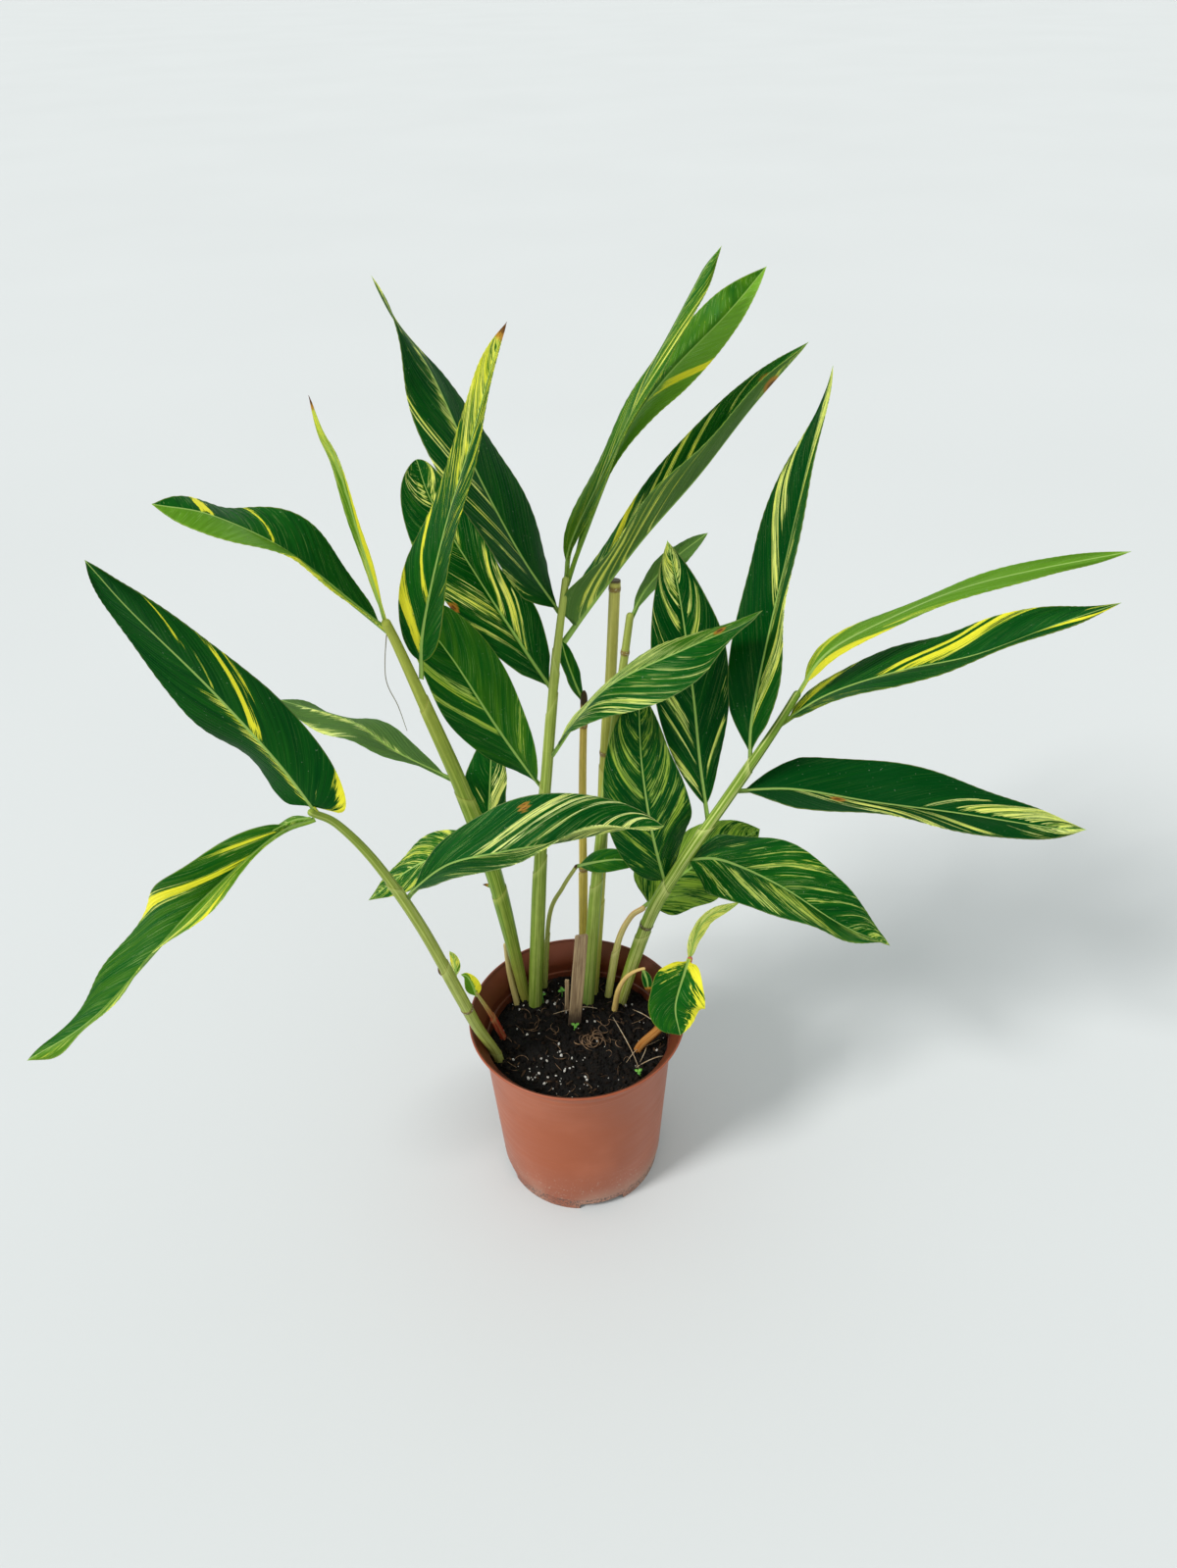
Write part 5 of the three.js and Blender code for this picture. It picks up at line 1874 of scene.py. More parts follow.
LEAVES: tuple[Leaf, ...] = (
    Leaf(
        "leaf_front_left_upper", ((-151, -73, 421), (-168, -78, 466), (-194, -84, 521),
        (-222, -92, 574), (-235, -98, 606)), 54, 0.28, 0.6, (-31, -54, -28, -45, -30),
        (51, 22, 33, 45, 38), wave=0.8, waves=3, phase=2, heel=1,
        look=Look(0.2, 0.8, right=(0.05,), pins=0.1, margin=0.2, bands=cream(L, (-0.3, 0.5, -0.3, 0.09))
            + cream(R, (0.505, 0.525, 0, 0.6, 0.7), (-0.05, 0.04, 0.25, 0.6, 0.55))
            + yellow(R, (0.325, 0.362, 0.05, 0.97), (0.3, 0.315, 0, 0.5), (0.268, 0.283, 0.6, 0.97),
            (0.57, 0.595, 0.5, 0.95), (-0.16, -0.03, 0.8, 1.2))),
    ),
    Leaf(
        "leaf_front_left_drooping", ((-154, -74, 421), (-179, -84, 415), (-234, -92, 369),
        (-310, -104, 293), (-362, -112, 261)), 55, 0.45, 0.75, (70, 64, 77, 74, 36),
        (15, 50, -8, -20, -37), wave=2.4, waves=3,
        look=Look(0.6, 0.6, left=(0.6,), right=(0.35,), pins=0.9, lime=0.1, painted_light_left=0.45,
            bands=cream(L, (0.12, 0.15, 0.1, 1.3), (0.3, 0.36, 0.3, 1.3, 0.85))
            + cream(R, (0.13, 0.24, 0.05, 1.3, 0.75), (-0.02, 0.05, 0.2, 0.9, 0.75),
            (0.225, 0.235, 0.3, 1), (0.52, 0.545, 0.5, 0.95, 0.65)) + yellow(L, (0.03, 0.07, 0.7, 1.3))
            + yellow(R, (0.15, 0.21, 0.05, 1.3), (0, 0.03, 0.2, 0.85))),
    ),
    Leaf(
        "leaf_front_left_low", ((-111, -55, 334), (-104, -57, 346), (-78, -62, 371), (-43, -64, 381),
        (-3, -64, 388), (38, -60, 393), (60, -58, 392)), 65, 0.55, 0.91, (-32, -14, 5, 9, -19),
        (70, 66, 72, 102, 68), veins=(0.35, 0.7),
        look=Look(0.22, 0.25, left=(0.1, 0.1, 0.2, 0.2, 0.2), right=(0.3, 0.45, 0.65, 0.75, 0.8),
            pins=0.7, bands=cream(L, (0.31, 0.375, 0, 1.1, 0.8), (0.4, 0.425, 0.05, 1),
            (0.44, 0.465, 0, 1), (0.53, 0.56, 0, 1.1), (0.76, 0.785, 0, 1.1), (0.85, 0.875, 0, 1.1),
            (0.18, 0.2, 0.2, 0.7, 0.6)) + cream(R, (0.38, 0.95, 0.55, 1.3), (0.5, 0.62, 0, 1.3, 0.8)),
            spots=(Spot(L, 0.55, 0.8, 5),)),
    ),
    Leaf(
        "leaf_left_top", ((-106, 3, 505), (-124, 0, 526), (-158, -8, 567), (-192, -18, 594),
        (-221, -26, 605)), 48, 0.5, 0.87, (73, 78, 84, 44, 16), (-22, -19, -8, -42, 2), wave=1.8,
        waves=2, veins=(0.28, 0),
        look=Look(0.35, 0.8, left=(0, 0, 0.1, 0.2, 0.3), right=(0.1, 0, 0, 0.1, 0.2), painted_light_left=1,
            bands=cream(L, (-0.5, 0.4, 0.62, 1.3), (0, 0.3, -0.3, 0.3, 0.85))
            + yellow(R, (0.553, 0.575, 0.05, 1), (0.79, 0.84, 0.1, 1.2))),
    ),
    Leaf(
        "leaf_left_spear", ((-107, 0, 510), (-116, 6, 563), (-124, 12, 608), (-131, 14, 628),
        (-135, 16, 648)), 10, 0.46, 1, (-32, -41, -24, -23, -19), (47, 43, 68, 67, 58), wave=0.3,
        slot="young_blade",
        look=Look(1.3, 0.6, left=(1, 0.9, 0.6, 0.9, 1), right=(1, 0.95, 0.75, 0.95, 1), pins=0.5,
            lime=0.3, dry=9, bands=cream(L, (-0.6, 0.25, -0.3, 0.7)) + yellow(L, (0.8, 1.1, -0.3, 1.3))
            + yellow(R, (-0.6, 0.36, -0.3, 1.3), (0.75, 1.1, -0.3, 1.3))),
    ),
    Leaf(
        "leaf_left_twisted", ((-91, 8, 468), (-86, 8, 503), (-67, 10, 567), (-48, 14, 617),
        (-31, 20, 664), (-23, 22, 682)), 45, 0.4, 0.85, (-1, 6, -42, -30, -11), (13, 55, 63, 67, 65),
        veins=(0.15, 0.7),
        look=Look(0.34, 0.9, left=(0.15, 0.2, 0.6, 0.85, 1), right=(0.2, 0.4, 0.6, 0.7, 0.8), dry=11,
            bands=cream(L, (0.62, 0.66, 0.1, 1.2), (0.72, 0.78, 0.1, 1.2))
            + yellow(L, (0.05, 0.115, 0.1, 1.2), (0.22, 0.25, 0.1, 1.2))),
    ),
    Leaf(
        "leaf_left_outer", ((-78, 23, 376), (-116, 32, 395), (-148, 42, 417), (-196, 52, 430)), 40,
        0.54, 0.85, (61, 78, 59, 35, 41), (-23, -17, -46, -77, -37),
        look=Look(0.7, 0.3, left=(0.2,), right=(0.2,), pins=0.3, shown=Face.UNDER,
            bands=cream(L, (0.3, 0.56, 0.8, 1.3), (-0.5, 0.9, -0.3, 0.16))
            + cream(R, (-0.5, 0.7, -0.3, 0.08))),
    ),
    Leaf(
        "leaf_left_low", ((-58, 31, 287), (-73, 42, 294), (-115, 58, 275), (-162, 64, 234)), 41, 0.37,
        0.94, (21, 27, 23, 32, 47), (12, 10, -11, -33, -32),
        look=Look(0.5, 0.6, left=(0.75, 0.7, 0.65), right=(0.78, 0.74, 0.72), pins=0.6, lime=0.15),
    ),
    Leaf(
        "leaf_left_inner", ((-61, 30, 303), (-58, 48, 336), (-55, 60, 367), (-53, 70, 392)), 40, 0.42,
        0.96, (2, -3, -2, -8, -7), (32, 39, 55, 51, 42),
        look=Look(0.2, 0.4, left=(0.1,), right=(0.2, 0.4, 0.5, 0.4, 0.2),
            bands=cream(L, (0.33, 0.36, 0.1, 0.6, 0.8)) + cream(R, (0.26, 0.44, 0.05, 1),
            (0.46, 0.62, 0, 0.9, 0.75))),
    ),
    Leaf(
        "leaf_centre_tall", ((0, 50, 489), (-24, 56, 528), (-48, 66, 579), (-73, 84, 639),
        (-93, 94, 668), (-104, 100, 691)), 63, 0.39, 0.68, (35, 61, 46, 45, 115),
        (-43, -32, -41, -66, -68), phase=2, neck=0.1,
        look=Look(0.15, 0.5, left=(0.1,), right=(0, 0, 0, 0.1, 0.5), pins=0.3, lime=0.1,
            bands=cream(L, (0.08, 0.11, 0.15, 0.95, 0.85), (0.18, 0.192, 0.05, 1.1),
            (0.2, 0.218, 0.1, 1.1), (0.33, 0.343, 0.1, 1.1), (0.352, 0.37, 0.2, 1.1),
            (0.39, 0.395, 0.4, 1.1), (-0.06, -0.01, 0.7, 1.1, 0.8), (0.5, 0.86, -0.3, 0.1),
            (0.66, 0.68, 0, 0.7, 0.7), (0.74, 1.1, 0.35, 1.3, 0.95))
            + cream(R, (0.68, 1.1, 0.2, 1.3, 0.9))),
    ),
    Leaf(
        "leaf_centre_middle", ((-7, 43, 433), (-23, 58, 453), (-53, 82, 498), (-82, 102, 547),
        (-91, 112, 574)), 58, 0.56, 0.6, (21, 24, 19, 2, -1), (12, 25, 69, 55, 41), neck=0.1,
        pointed=False,
        look=Look(0.24, 0.5, left=(0.1, 0.3, 0.45, 0.4, 0.5), right=(0.05, 0.3, 0.3, 0.3, 0.5),
            pins=0.6, bands=cream(L, (0.11, 0.15, 0.1, 0.95, 0.85), (0.21, 0.45, 0, 1.1, 0.72),
            (0.8, 0.9, 0, 1.1, 0.8)) + cream(R, (0.2, 0.265, 0, 1, 0.95), (0.155, 0.185, 0, 0.9, 0.85),
            (0.3, 0.36, 0, 0.9, 0.85), (0.62, 0.7, 0, 0.5, 0.8), (0.8, 0.9, 0, 1.1, 0.8),
            (0.4, 0.44, 0.3, 0.9, 0.6)), spots=(Spot(L, 0.47, 0.97, 6),)),
    ),
    Leaf(
        "leaf_centre_low", ((-18, 40, 351), (-47, 42, 406), (-71, 44, 456), (-89, 46, 489),
        (-95, 46, 511)), 54, 0.53, 0.6, (-83, -21, 9, 34, 40), (70, 51, 31, 9, -10),
        look=Look(0.62, 0.6, left=(0.1,), right=(0.1,), lime=0.55, painted_light_left=-0.22,
            bands=cream(L, (0.285, 0.34, 0, 1.2, 0.9), (0.435, 0.545, 0, 1.2, 0.93),
            (0.8, 1, 0.4, 1.2, 0.8)) + cream(R, (0.08, 0.17, 0.2, 1.2, 0.7),
            (0.5, 0.56, 0.1, 0.9, 0.5))),
    ),
    Leaf(
        "leaf_centre_folded", ((1, 48, 469), (20, 54, 493), (54, 68, 531), (92, 82, 568),
        (127, 96, 607), (162, 108, 642)), 54, 0.28, 0.63, (-33, -34, -6, 10, -24),
        (156, 113, 117, 108, 102),
        look=Look(0.8, 0.6, left=(0.6, 0.5, 0.3, 0.3, 0.5), right=(0.5, 0.4, 0.3, 0.3, 0.5), pins=0.7,
            painted_light_left=-0.35, bands=cream(L, (0.02, 0.055, 0, 0.7), (0.085, 0.12, -0.3, 0.8),
            (0.15, 0.2, -0.3, 0.7), (0.235, 0.255, 0, 1), (0.29, 0.33, 0.2, 1.1),
            (0.41, 0.45, 0.4, 1, 0.9), (0.6, 0.64, 0.4, 1, 0.85), (0.78, 1, 0, 0.5, 0.8))
            + cream(R, (0.04, 0.065, 0.1, 1.1), (0.095, 0.14, -0.3, 0.9), (0.18, 0.2, 0, 1.1),
            (0.24, 0.27, -0.3, 0.8), (0.36, 0.375, 0, 0.8), (0.78, 1, 0, 0.6, 0.8))
            + yellow(L, (0.08, 0.13, 0.6, 1.1)), spots=(Spot(L, 0.86, 0.1, 9),)),
    ),
    Leaf(
        "leaf_centre_top_narrow", ((4, 52, 512), (9, 54, 538), (32, 62, 583), (63, 78, 641),
        (91, 92, 687), (103, 96, 702)), 39, 0.52, 0.6, (-24, -43, -56, -72, -73), (65, 73, 78, 62, 27),
        veins=(0.5, 0.45),
        look=Look(0.72, 0.8, left=(0.56,), right=(0.58,), pins=1, lime=0.05,
            bands=cream(L, (0.5, 0.55, 0, 1.2), (0.27, 0.3, 0, 1)) + cream(R, (0.35, 0.41, 0.3, 1.2),
            (0.52, 0.57, 0.2, 1.2))),
    ),
    Leaf(
        "leaf_centre_top_wide", ((4, 51, 509), (15, 64, 533), (44, 80, 594), (71, 96, 626),
        (110, 112, 659), (135, 122, 684)), 42, 0.6, 0.88, (-42, -36, -43, -16, 30),
        (79, 93, 54, 37, 41), veins=(0.28, 0.1),
        look=Look(2.3, 0.95, left=(0.42,), right=(0.35,), pins=1, lime=0.1, painted_light_left=-1.5,
            bands=cream(L, (0.44, 0.48, 0.1, 1.2, 0.85), (0.56, 0.61, 0.1, 1.2, 0.9))
            + yellow(R, (0.535, 0.595, 0.15, 1.3))),
    ),
    Leaf(
        "leaf_centre_right", ((-11, 37, 385), (9, 28, 421), (34, 20, 453), (81, 8, 484), (112, -2, 504),
        (123, -6, 515)), 53, 0.49, 0.96, (-52, -65, -53, -48, -55), (92, 74, 17, 13, 77),
        look=Look(0.35, 0.3, left=(0.9, 0.9, 0.8, 0.7, 0.4), right=(0.5, 0.55, 0.4, 0.4, 0.3), pins=0.9,
            lime=0.2, painted_light_left=0.35, bands=cream(R, (0.12, 0.19, 0.2, 1.1, 0.8),
            (0.21, 0.27, 0.2, 1.1, 0.8), (0.3, 0.325, 0.1, 1, 0.85), (0.45, 0.462, 0, 1),
            (0.53, 0.542, 0.05, 0.9), (0.63, 0.65, 0.1, 1.2, 0.9), (0.38, 0.39, 0.1, 0.8)),
            spots=(Spot(L, 0.83, 0.3, 6),)),
    ),
    Leaf(
        "leaf_back_tip", ((46, 53, 481), (58, 64, 498), (77, 76, 513), (100, 84, 527)), 21, 0.51, 1,
        (-30, -37, -29, -22, -9), (55, 57, 49, 35, 32), wave=0.5,
        look=Look(0.9, 0.5, left=(0.1,), pins=0.3, shown=Face.UNDER),
    ),
    Leaf(
        "leaf_right_low", ((71, 24, 268), (60, 23, 321), (53, 26, 373), (51, 31, 408), (51, 36, 437)),
        62, 0.43, 0.8, (24, 13, 11, 4, -2), (-16, -3, 26, 42, 30),
        look=Look(0.12, 0.6, left=(0.5,), right=(0.5,), pins=0.5, lime=0.6,
            bands=cream(L, (0.14, 0.18, 0.2, 1.1, 0.85), (0.46, 0.54, 0, 1.1, 0.85),
            (0.6, 0.67, 0, 1, 0.8), (0.75, 0.8, 0, 1, 0.75)) + cream(R, (0.19, 0.27, 0.2, 1, 0.85),
            (0.31, 0.35, 0, 1, 0.8), (0.41, 0.6, 0, 1.1, 0.75), (0.66, 0.95, 0, 1.1, 0.7))),
    ),
    Leaf(
        "leaf_right_middle", ((99, 17, 337), (93, 25, 380), (88, 39, 431), (79, 53, 495),
        (71, 63, 532)), 54, 0.5, 0.89, (35, 19, 10, 13, -9), (-6, -10, -5, 32, 45),
        look=Look(0.05, 0.45, left=(0.15,), right=(0.1,), pins=0.5, lime=0.15,
            bands=cream(L, (-0.03, 0.05, 0.35, 1.1, 0.85), (0.155, 0.185, 0.15, 0.9, 0.95),
            (0.235, 0.33, 0.15, 0.95, 0.85), (0.42, 0.5, 0.3, 1.1, 0.7), (0.655, 0.72, 0.1, 1.1, 0.9),
            (0.76, 1, 0, 1.1, 0.85)) + cream(R, (0.085, 0.125, 0.25, 0.95, 0.95),
            (0.14, 0.22, 0.75, 1, 0.8), (0.6, 0.655, 0, 0.9, 0.95), (0.7, 0.74, 0.1, 0.8, 0.9),
            (0.84, 1, 0, 1.1, 0.85), (0.21, 0.28, 0.2, 0.8, 0.5))),
    ),
    Leaf(
        "leaf_right_tall", ((125, 10, 391), (125, 12, 427), (134, 20, 488), (144, 30, 540),
        (156, 44, 600), (166, 54, 643)), 58, 0.47, 0.9, (-13, -20, -42, -43, -104),
        (62, 72, 92, 94, 76), neck=0.12,
        look=Look(0.35, 0.5, left=(0, 0, 0, 0, 0.1), right=(0.3, 0.4, 0.4, 0.5, 0.6), pins=0.35,
            lime=0.1, painted_light_left=-0.35, bands=cream(L, (0.42, 0.5, 0, 1, 0.92), (0.52, 0.6, 0.25, 1.1, 0.95))
            + cream(R, (0.08, 0.22, 0.05, 1.2, 0.88), (0.32, 0.5, 0, 0.7, 0.75),
            (0.62, 1.1, 0.1, 1.2, 0.9))),
    ),
    Leaf(
        "leaf_right_side", ((118, 13, 365), (157, 6, 369), (208, -8, 366), (262, -24, 366),
        (316, -40, 364), (341, -46, 365)), 61, 0.37, 0.83, (-14, -8, 3, -14, -10), (56, 63, 72, 48, 36),
        phase=1, neck=0.16,
        look=Look(-0.1, 0.4, right=(0.1, 0.2, 0.3, 0.4, 0.7), pins=0.1, lime=0.1,
            bands=cream(L, (0.525, 0.56, 0, 0.7, 0.95), (0.6, 0.84, 0.1, 1.3, 0.97),
            (0.86, 1.1, 0, 1.2, 0.8)) + cream(R, (0.13, 0.19, 0, 1.1, 0.9), (0.22, 0.29, 0, 1.1, 0.9),
            (0.36, 0.385, 0, 1, 0.9), (0.42, 0.49, 0.05, 1, 0.8), (0.71, 0.75, 0.2, 0.8, 0.8),
            (0.82, 1.1, 0, 1.2, 0.92)), spots=(Spot(R, 0.3, 0.25, 7),)),
    ),
    Leaf(
        "leaf_right_front", ((84, 21, 298), (110, 10, 305), (150, -6, 292), (192, -24, 269),
        (227, -36, 257)), 66, 0.38, 0.63, (-40, -24, 5, 7, -16), (16, 33, 55, 67, 81), wave=1.8,
        waves=3, phase=1, neck=0.1,
        look=Look(0.35, 0.5, left=(0.5,), right=(0.5,), pins=0.8, lime=0.35,
            bands=cream(L, (0.26, 0.32, 0, 1, 0.8), (0.455, 0.49, 0, 1.1, 0.88),
            (0.55, 0.585, 0, 1.1, 0.88), (0.36, 0.385, 0.1, 1, 0.8), (0.68, 1, 0, 1.2, 0.72),
            (0.1, 0.2, 0, 1, 0.6)) + cream(R, (0, 0.045, 0.15, 1, 0.9), (0.15, 0.24, 0.05, 1, 0.85),
            (0.29, 0.5, 0, 1, 0.75), (0.72, 1.1, 0, 1.2, 0.85))),
    ),
    Leaf(
        "leaf_right_top", ((139, 6, 421), (171, 0, 449), (211, -8, 469), (256, -18, 485),
        (298, -28, 510), (330, -34, 526)), 49, 0.42, 0.95, (-18, -36, -25, 1, -36),
        (79, 67, 68, 81, 56), phase=3,
        look=Look(0.22, 0.9, left=(0.1,), right=(0.1,), pins=0.3,
            bands=cream(L, (0.4, 0.5, 0, 1.3, 0.85), (-0.2, 0.06, 0.1, 1.2, 0.75),
            (0.86, 1.1, 0.4, 1.2, 0.9)) + cream(R, (-0.2, 0.1, 0.1, 1.2, 0.55),
            (0.3, 0.4, 0, 0.25, 0.8)) + yellow(L, (0.31, 0.35, 0.1, 1.2), (0.385, 0.44, 0, 1.3))
            + yellow(R, (0.74, 0.86, 0.1, 1.2))),
    ),
    Leaf(
        "leaf_right_top_narrow", ((150, 2, 446), (169, 4, 478), (210, 10, 499), (254, 18, 513),
        (303, 26, 520), (364, 34, 526)), 27, 0.39, 0.86, (-27, -42, -60, -24, -15),
        (42, 60, 55, 49, 20), wave=0.8, slot="young_blade",
        look=Look(1.5, 0.95, left=(0.3,), right=(0.3,), pins=0.9, lime=0.2,
            bands=cream(L, (-0.4, 0.03, -0.3, 1.3, 0.9), (0.2, 0.24, 0, 1, 0.6))
            + cream(R, (0.12, 0.2, 0.5, 1.3, 0.85)) + yellow(R, (-0.4, 0.06, -0.3, 1.3))),
    ),
    Leaf(
        "leaf_arched", ((55, 42, 234), (75, 54, 243), (103, 66, 259), (150, 80, 277)), 66, 0.29, 0.62,
        (4, -17, -26, 2, 3), (35, 50, 10, 24, 23),
        look=Look(0.15, 0.6, left=(0.85, 0.9, 0.85), right=(0.85, 0.8, 0.9), pins=0.5, lime=0.75),
    ),
    Leaf(
        "leaf_shoot_broad", ((85, -14, 231), (81, -24, 227), (73, -38, 207), (76, -48, 186)), 45, 0.46,
        0.69, (41, 46, 27, 2, 7), (-3, 12, 31, 18, 24), wave=0.8, slot="young_blade",
        look=Look(0.5, 0.9, left=(0.1,), right=(0.05,), bands=cream(L, (0.1, 0.85, 0.3, 0.62, 0.75))
            + cream(R, (-0.1, 0.2, 0.1, 1, 0.7)) + yellow(L, (-0.4, 0.1, -0.3, 1.3),
            (0.1, 0.88, 0.62, 1.3)) + yellow(R, (-0.4, 0.02, 0.4, 1.3))),
    ),
    Leaf(
        "leaf_shoot_narrow", ((85, -12, 225), (90, -8, 247), (100, 0, 259), (125, 10, 264)), 15, 0.42,
        1.02, (52, 55, 61, 55, 53), (-22, -37, -37, -35, -27), wave=0.4, slot="young_blade",
        look=Look(1.8, 0.5, left=(1,), right=(1,), bands=cream(L, (-0.6, 1.1))
            + cream(R, (-0.6, 1.1, -0.5, 0.7))),
    ),
    Leaf(
        "leaf_stub_tiny", ((53, 18, 191), (56, 12, 184), (57, 8, 174)), 8, 0.43, 0.95,
        (17, 17, 18, 17, 17), (15, 15, 15, 15, 15), wave=0.2, slot="young_blade",
        look=Look(0.3, 0.5, pins=0.1, dry=6),
    ),
    Leaf(
        "leaf_small_shoot", ((4, 46, 275), (18, 32, 290), (35, 28, 295), (53, 26, 292)), 18, 0.54, 1,
        (5, 5, 22, 36, 34), (25, 17, 10, 3, -1), wave=0.5,
        look=Look(0.6, 0.5, left=(0.05,), right=(0.2,), pins=0.3, lime=0.5),
    ),
    Leaf(
        "leaf_slim_dark", ((14, 71, 405), (8, 74, 421), (3, 78, 437), (-1, 82, 454)), 14, 0.47, 0.93,
        (45, 48, 54, 37, 28), (-14, -22, -15, -10, 1), wave=0.4,
        look=Look(0.5, 0.4, pins=0.1),
    ),
    Leaf(
        "leaf_red_shoot", ((-74, -24, 212), (-77, -25, 227), (-80, -25, 234), (-84, -25, 236)), 12, 0.4,
        0.98, (16, 16, 19, 23, 21), (17, 17, 18, 17, 13), wave=0.3, slot="young_blade",
        look=Look(1.3, 0.9, left=(0.3,), right=(0.3,), pins=0.3,
            bands=yellow(R, (-0.2, 0.7, 0.2, 1.3))),
    ),
)

# Small leaves, scales and a fold that have no solid of their own
EXTRAS: tuple[Leaf, ...] = (
    Leaf(
        "bud_front_left", ((-88.6, -23, 232), (-87.5, -24, 241), (-88, -23, 250), (-90.5, -22, 257)), 9,
        0.4, 0.9, (-35,), (-35,), wave=0.2, node=False,
        look=Look(0.9, 0.45, left=(1,), right=(1,), bands=cream(L, (-0.5, 1.1, -0.3, 0.8))
            + cream(R, (-0.5, 1.1, -0.3, 0.8)) + yellow(L, (0.2, 1.1, 0.5, 1.3))),
    ),
    Leaf(
        "fold_front_left", ((-156, -75, 423), (-166, -79, 424.5), (-178, -84, 421)), 13, 0.45, 0.8,
        (-50,), (-50,), wave=0.2, node=False,
        look=Look(1.2, 0.4, left=(0.6,), right=(0.6,)),
    ),
    Leaf(
        "scale_front_left", ((-93, -28, 236), (-97, -28, 242), (-99, -28, 249)), 5, 0.4, 0.9, (-20,),
        (-20,), wave=0.2, node=False,
        look=Look(0.9, 0.6, dry=40),
    ),
    Leaf(
        "scale_left", ((-60, 40, 262), (-64, 40, 265), (-68, 40, 266)), 3, 0.4, 0.9, (-20,), (-20,),
        wave=0.2, node=False,
        look=Look(0.9, 0.6, dry=5),
    ),
)

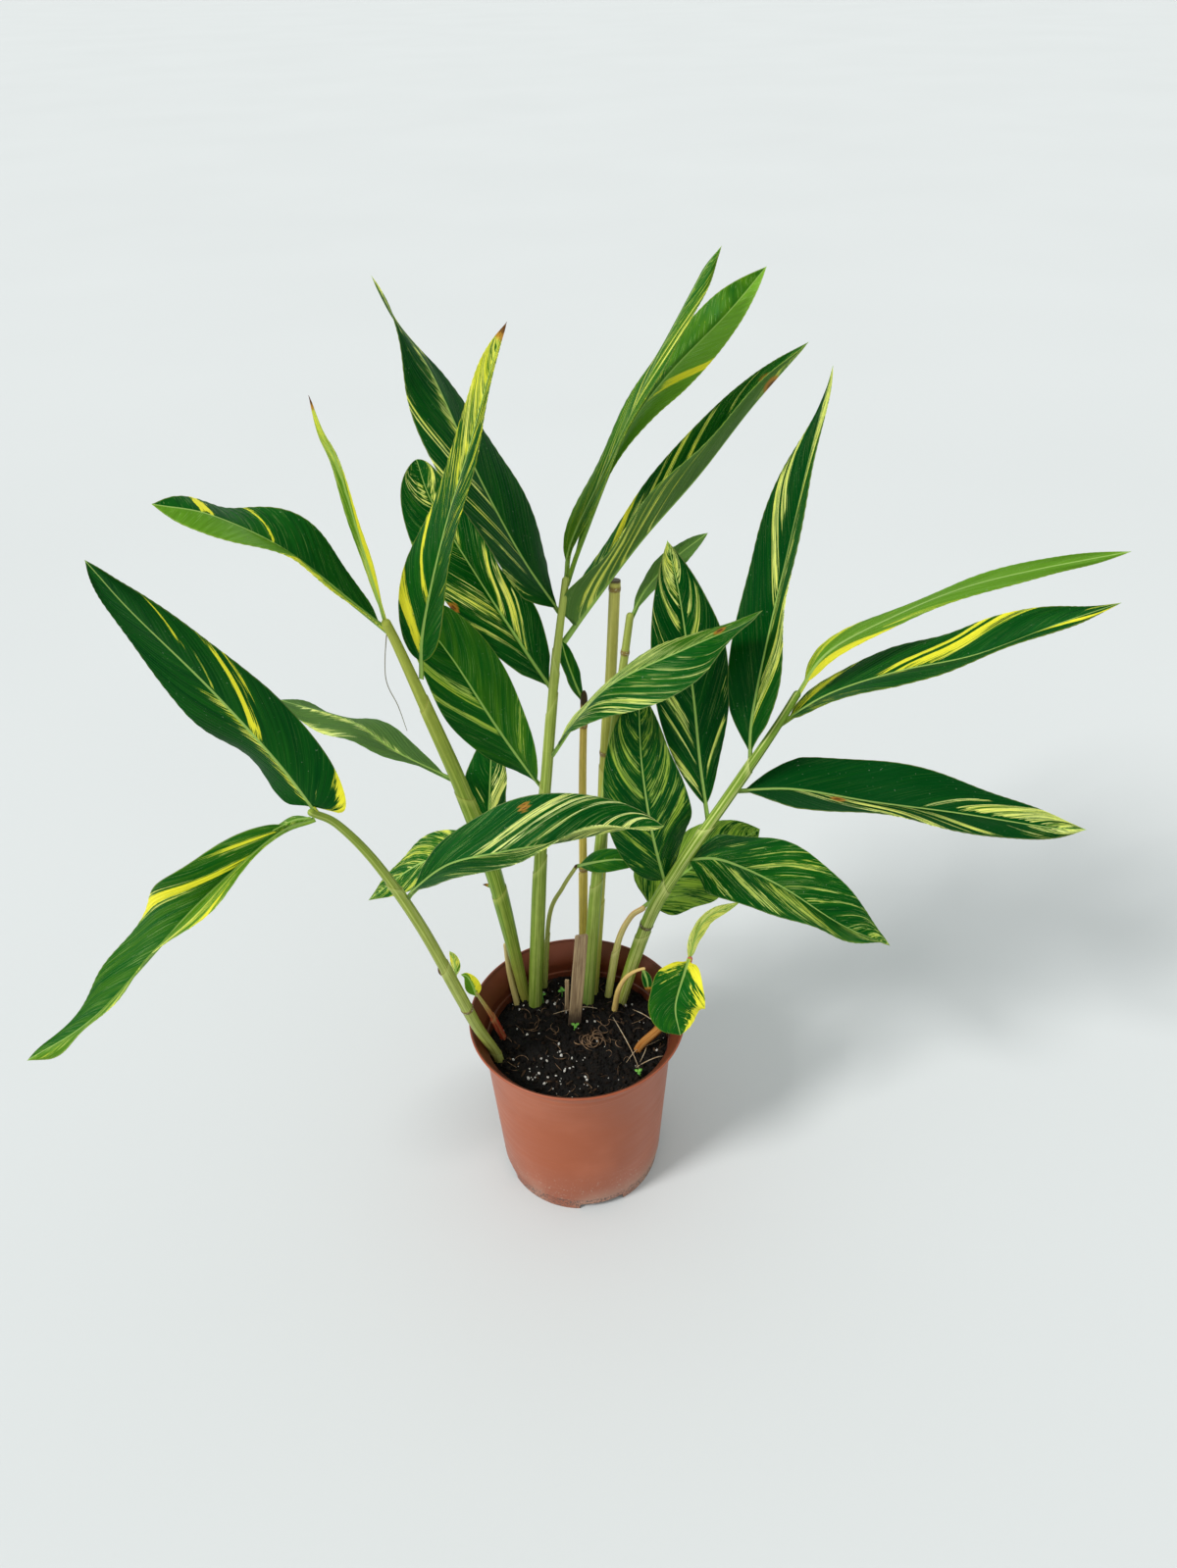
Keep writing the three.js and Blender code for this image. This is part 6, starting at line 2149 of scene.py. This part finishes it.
STEMS: tuple[Stem, ...] = (
    Stem(
        "stem_front_left", ((-61, -12, 112), (-64, -16, 134), (-66.5, -19, 148), (-76, -27, 182),
        (-84, -38, 225), (-103, -52, 309), (-124, -60, 372), (-142, -68, 411), (-155, -75, 427)),
        (3.8, 3.9, 4.2, 4, 3.5, 3, 2.4), (0.1, 0.47, 0.74), "stem",
        StemLook((0.3, 0.3, 0.06), (0.25, 0.3, 0.05), (0.22, 0.3, 0.04), (0.45, 0.5, 0.15),
            rings=(0.307,), turn=180, scar=(0.13, 0.06, 0.025)),
    ),
    Stem(
        "stem_left", ((-41, 50, 112), (-43, 48, 136), (-57, 30, 279), (-74, 24, 367), (-91, 14, 442),
        (-102, 4, 493), (-107, 0, 513)), (4.2, 4.8, 5.8, 6.2, 5.2, 4, 3), (0.38, 0.62, 0.83), "stem",
        StemLook((0.3, 0.28, 0.05), (0.13, 0.225, 0.02), (0.34, 0.38, 0.06), (0.42, 0.46, 0.1),
            stripes=0.35),
    ),
    Stem(
        "stem_centre", ((-35, 41, 112), (-34, 41, 138), (-23, 34, 290), (-14, 38, 376), (-6, 42, 446),
        (-1, 46, 481), (4, 50, 513)), (5.6, 5.5, 5.2, 4.4, 3.8, 3, 2.4), (0.44, 0.6, 0.78, 0.86),
        "stem",
        StemLook((0.16, 0.24, 0.03), (0.16, 0.24, 0.03), (0.36, 0.42, 0.09), (0.44, 0.5, 0.14),
            stripes=0.4, slant=9),
    ),
    Stem(
        "stem_slim", ((5, 57, 112), (6, 58, 135), (9, 60, 247), (11, 66, 337), (14, 70, 409)),
        (3.4, 3.2, 3, 2.6), (0.5,), "dry_stem",
        StemLook((0.5, 0.4, 0.08), (0.66, 0.5, 0.1), (0.6, 0.42, 0.1), (0.7, 0.56, 0.18), stripes=0.4,
            rings=(0.5, 0.93), end=(0.05, 0.025, 0.02), end_length=9, domed=3),
    ),
    Stem(
        "cane_cut", ((12, 51, 112), (14, 51, 135), (22, 54, 251), (29, 60, 383), (33, 63, 432),
        (37, 68, 503)), (4.4, 4.2, 4, 3.8), (0.3, 0.62), "dry_stem",
        StemLook((0.26, 0.3, 0.05), (0.36, 0.38, 0.06), (0.5, 0.46, 0.12), (0.56, 0.52, 0.18),
            stripes=0.4, rings=(0.42, 0.66, 0.985), end=(0.1, 0.07, 0.05), end_length=2.5, domed=0.1),
    ),
    Stem(
        "stem_back", ((7, 38, 112), (9, 39, 135), (19, 43, 261), (31, 47, 368), (40, 50, 439),
        (46, 54, 483)), (5.2, 4.8, 4.2, 3.4, 2.6), (0.4, 0.7), "stem",
        StemLook((0.13, 0.21, 0.045), (0.2, 0.29, 0.04), (0.34, 0.38, 0.08), (0.42, 0.48, 0.14),
            stripes=0.45, rings=(0.93,)),
    ),
    Stem(
        "stem_right", ((34, 40, 112), (37, 40, 135), (58, 28, 233), (80, 22, 290), (111, 14, 357),
        (138, 6, 417), (151, 2, 449)), (5, 5, 5, 4.6, 4, 3.4, 2.6), (0.3, 0.46, 0.64, 0.82), "stem",
        StemLook((0.32, 0.36, 0.06), (0.19, 0.29, 0.035), (0.13, 0.23, 0.025), (0.58, 0.62, 0.22),
            stripes=0.6, rings=(0.33,), scar=(0.05, 0.025, 0.018)),
    ),
    Stem(
        "stem_arched", ((25, 48, 112), (27, 47, 135), (35, 44, 195), (45, 44, 222), (55, 42, 233)),
        (3, 3, 2.6, 2.2), (0.6,), "stem",
        StemLook((0.36, 0.42, 0.08), (0.56, 0.56, 0.16), (0.66, 0.42, 0.18), (0.7, 0.68, 0.3)),
    ),
    Stem(
        "shoot_front_right", ((44, -10, 112), (49, -11, 134), (66, -10, 156), (81, -12, 196),
        (86, -12, 229)), (3.4, 3.2, 2.8, 2), (0.55,), "red_shoot",
        StemLook((0.26, 0.085, 0.016), (0.3, 0.11, 0.024), (0.5, 0.1, 0.07), (0.5, 0.3, 0.1),
            stripes=0.4),
    ),
    Stem(
        "stub_curled", ((28, 30, 112), (31, 30, 134), (34, 24, 162), (40, 21, 179), (48, 19, 188),
        (54, 18, 191)), (2.6, 2.4, 2, 1.2), (), "dry_stem",
        StemLook((0.5, 0.46, 0.12), (0.66, 0.46, 0.13), (0.72, 0.46, 0.16), (0.74, 0.58, 0.28),
            stripes=0.4),
    ),
    Stem(
        "stub_left", ((-48, 42, 112), (-50, 44, 134), (-54, 50, 160), (-56, 54, 188)),
        (2.6, 2.6, 2.4, 1.6), (), "dry_stem",
        StemLook((0.3, 0.28, 0.09), (0.36, 0.29, 0.1), (0.42, 0.32, 0.14), (0.5, 0.44, 0.2),
            stripes=0.4, domed=1.6),
    ),
    Stem(
        "shoot_small", ((-27, 56, 112), (-26, 58, 135), (-19, 52, 219), (-7, 48, 253), (4, 46, 275)),
        (2, 1.9, 1.8, 1.5), (0.5,), "stem",
        StemLook((0.24, 0.28, 0.04), (0.28, 0.34, 0.06), (0.36, 0.38, 0.08), (0.5, 0.5, 0.2),
            end=(0.08, 0.03, 0.02), end_length=2),
    ),
    Stem(
        "shoot_red", ((-56, 10, 112), (-61, 7, 134), (-66, -6, 170), (-74, -25, 216)),
        (2.6, 2.6, 1.8, 1.1), (0.55,), "red_shoot",
        StemLook((0.3, 0.01, 0.006), (0.36, 0.03, 0.015), (0.42, 0.4, 0.1), (0.45, 0.32, 0.14),
            stripes=0.4),
    ),
)

# Hair-thin thread, in the scene only
EXTRA_STEMS: tuple[Stem, ...] = (
    Stem(
        "thread_left", ((-104, 3, 511), (-107, 2, 509), (-112.4, 2, 474), (-107, 2, 452),
        (-103.5, 2, 433)), (0.4, 0.3, 0.3, 0.2), (), "stem", node=False,
        look=StemLook((0.1, 0.06, 0.07), (0.16, 0.12, 0.14), (0.12, 0.09, 0.1)),
    ),
)

SLATS: tuple[Slat, ...] = (
    Slat("slat", (-6, 14, 96), (6, 24, 224), 10.5, 2.4, 12, damp_top=146),
    Slat("slat_small", (-9, 30, 108), (-7, 34, 166), 3.4, 1.8, -8, damp_top=136),
)


def main() -> None:
    """Build the room and every piece of the plant, with the solids that the pieces replace kept hidden.
    """
    logging.basicConfig(level=logging.INFO, format="%(name)s: %(message)s")
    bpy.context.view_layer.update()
    Room().build()
    pot = Pot()
    pot.build()
    Soil(pot).build()
    for slat in SLATS:
        slat.build()
    RhizomeFinish().dress()
    for stem in STEMS + EXTRA_STEMS:
        stem.build()
    finish = BladeFinish()
    faces = {face: finish.material(face) for face in Face}
    for leaf in LEAVES + EXTRAS:
        leaf.build(faces)


if __name__ == "__main__":
    main()
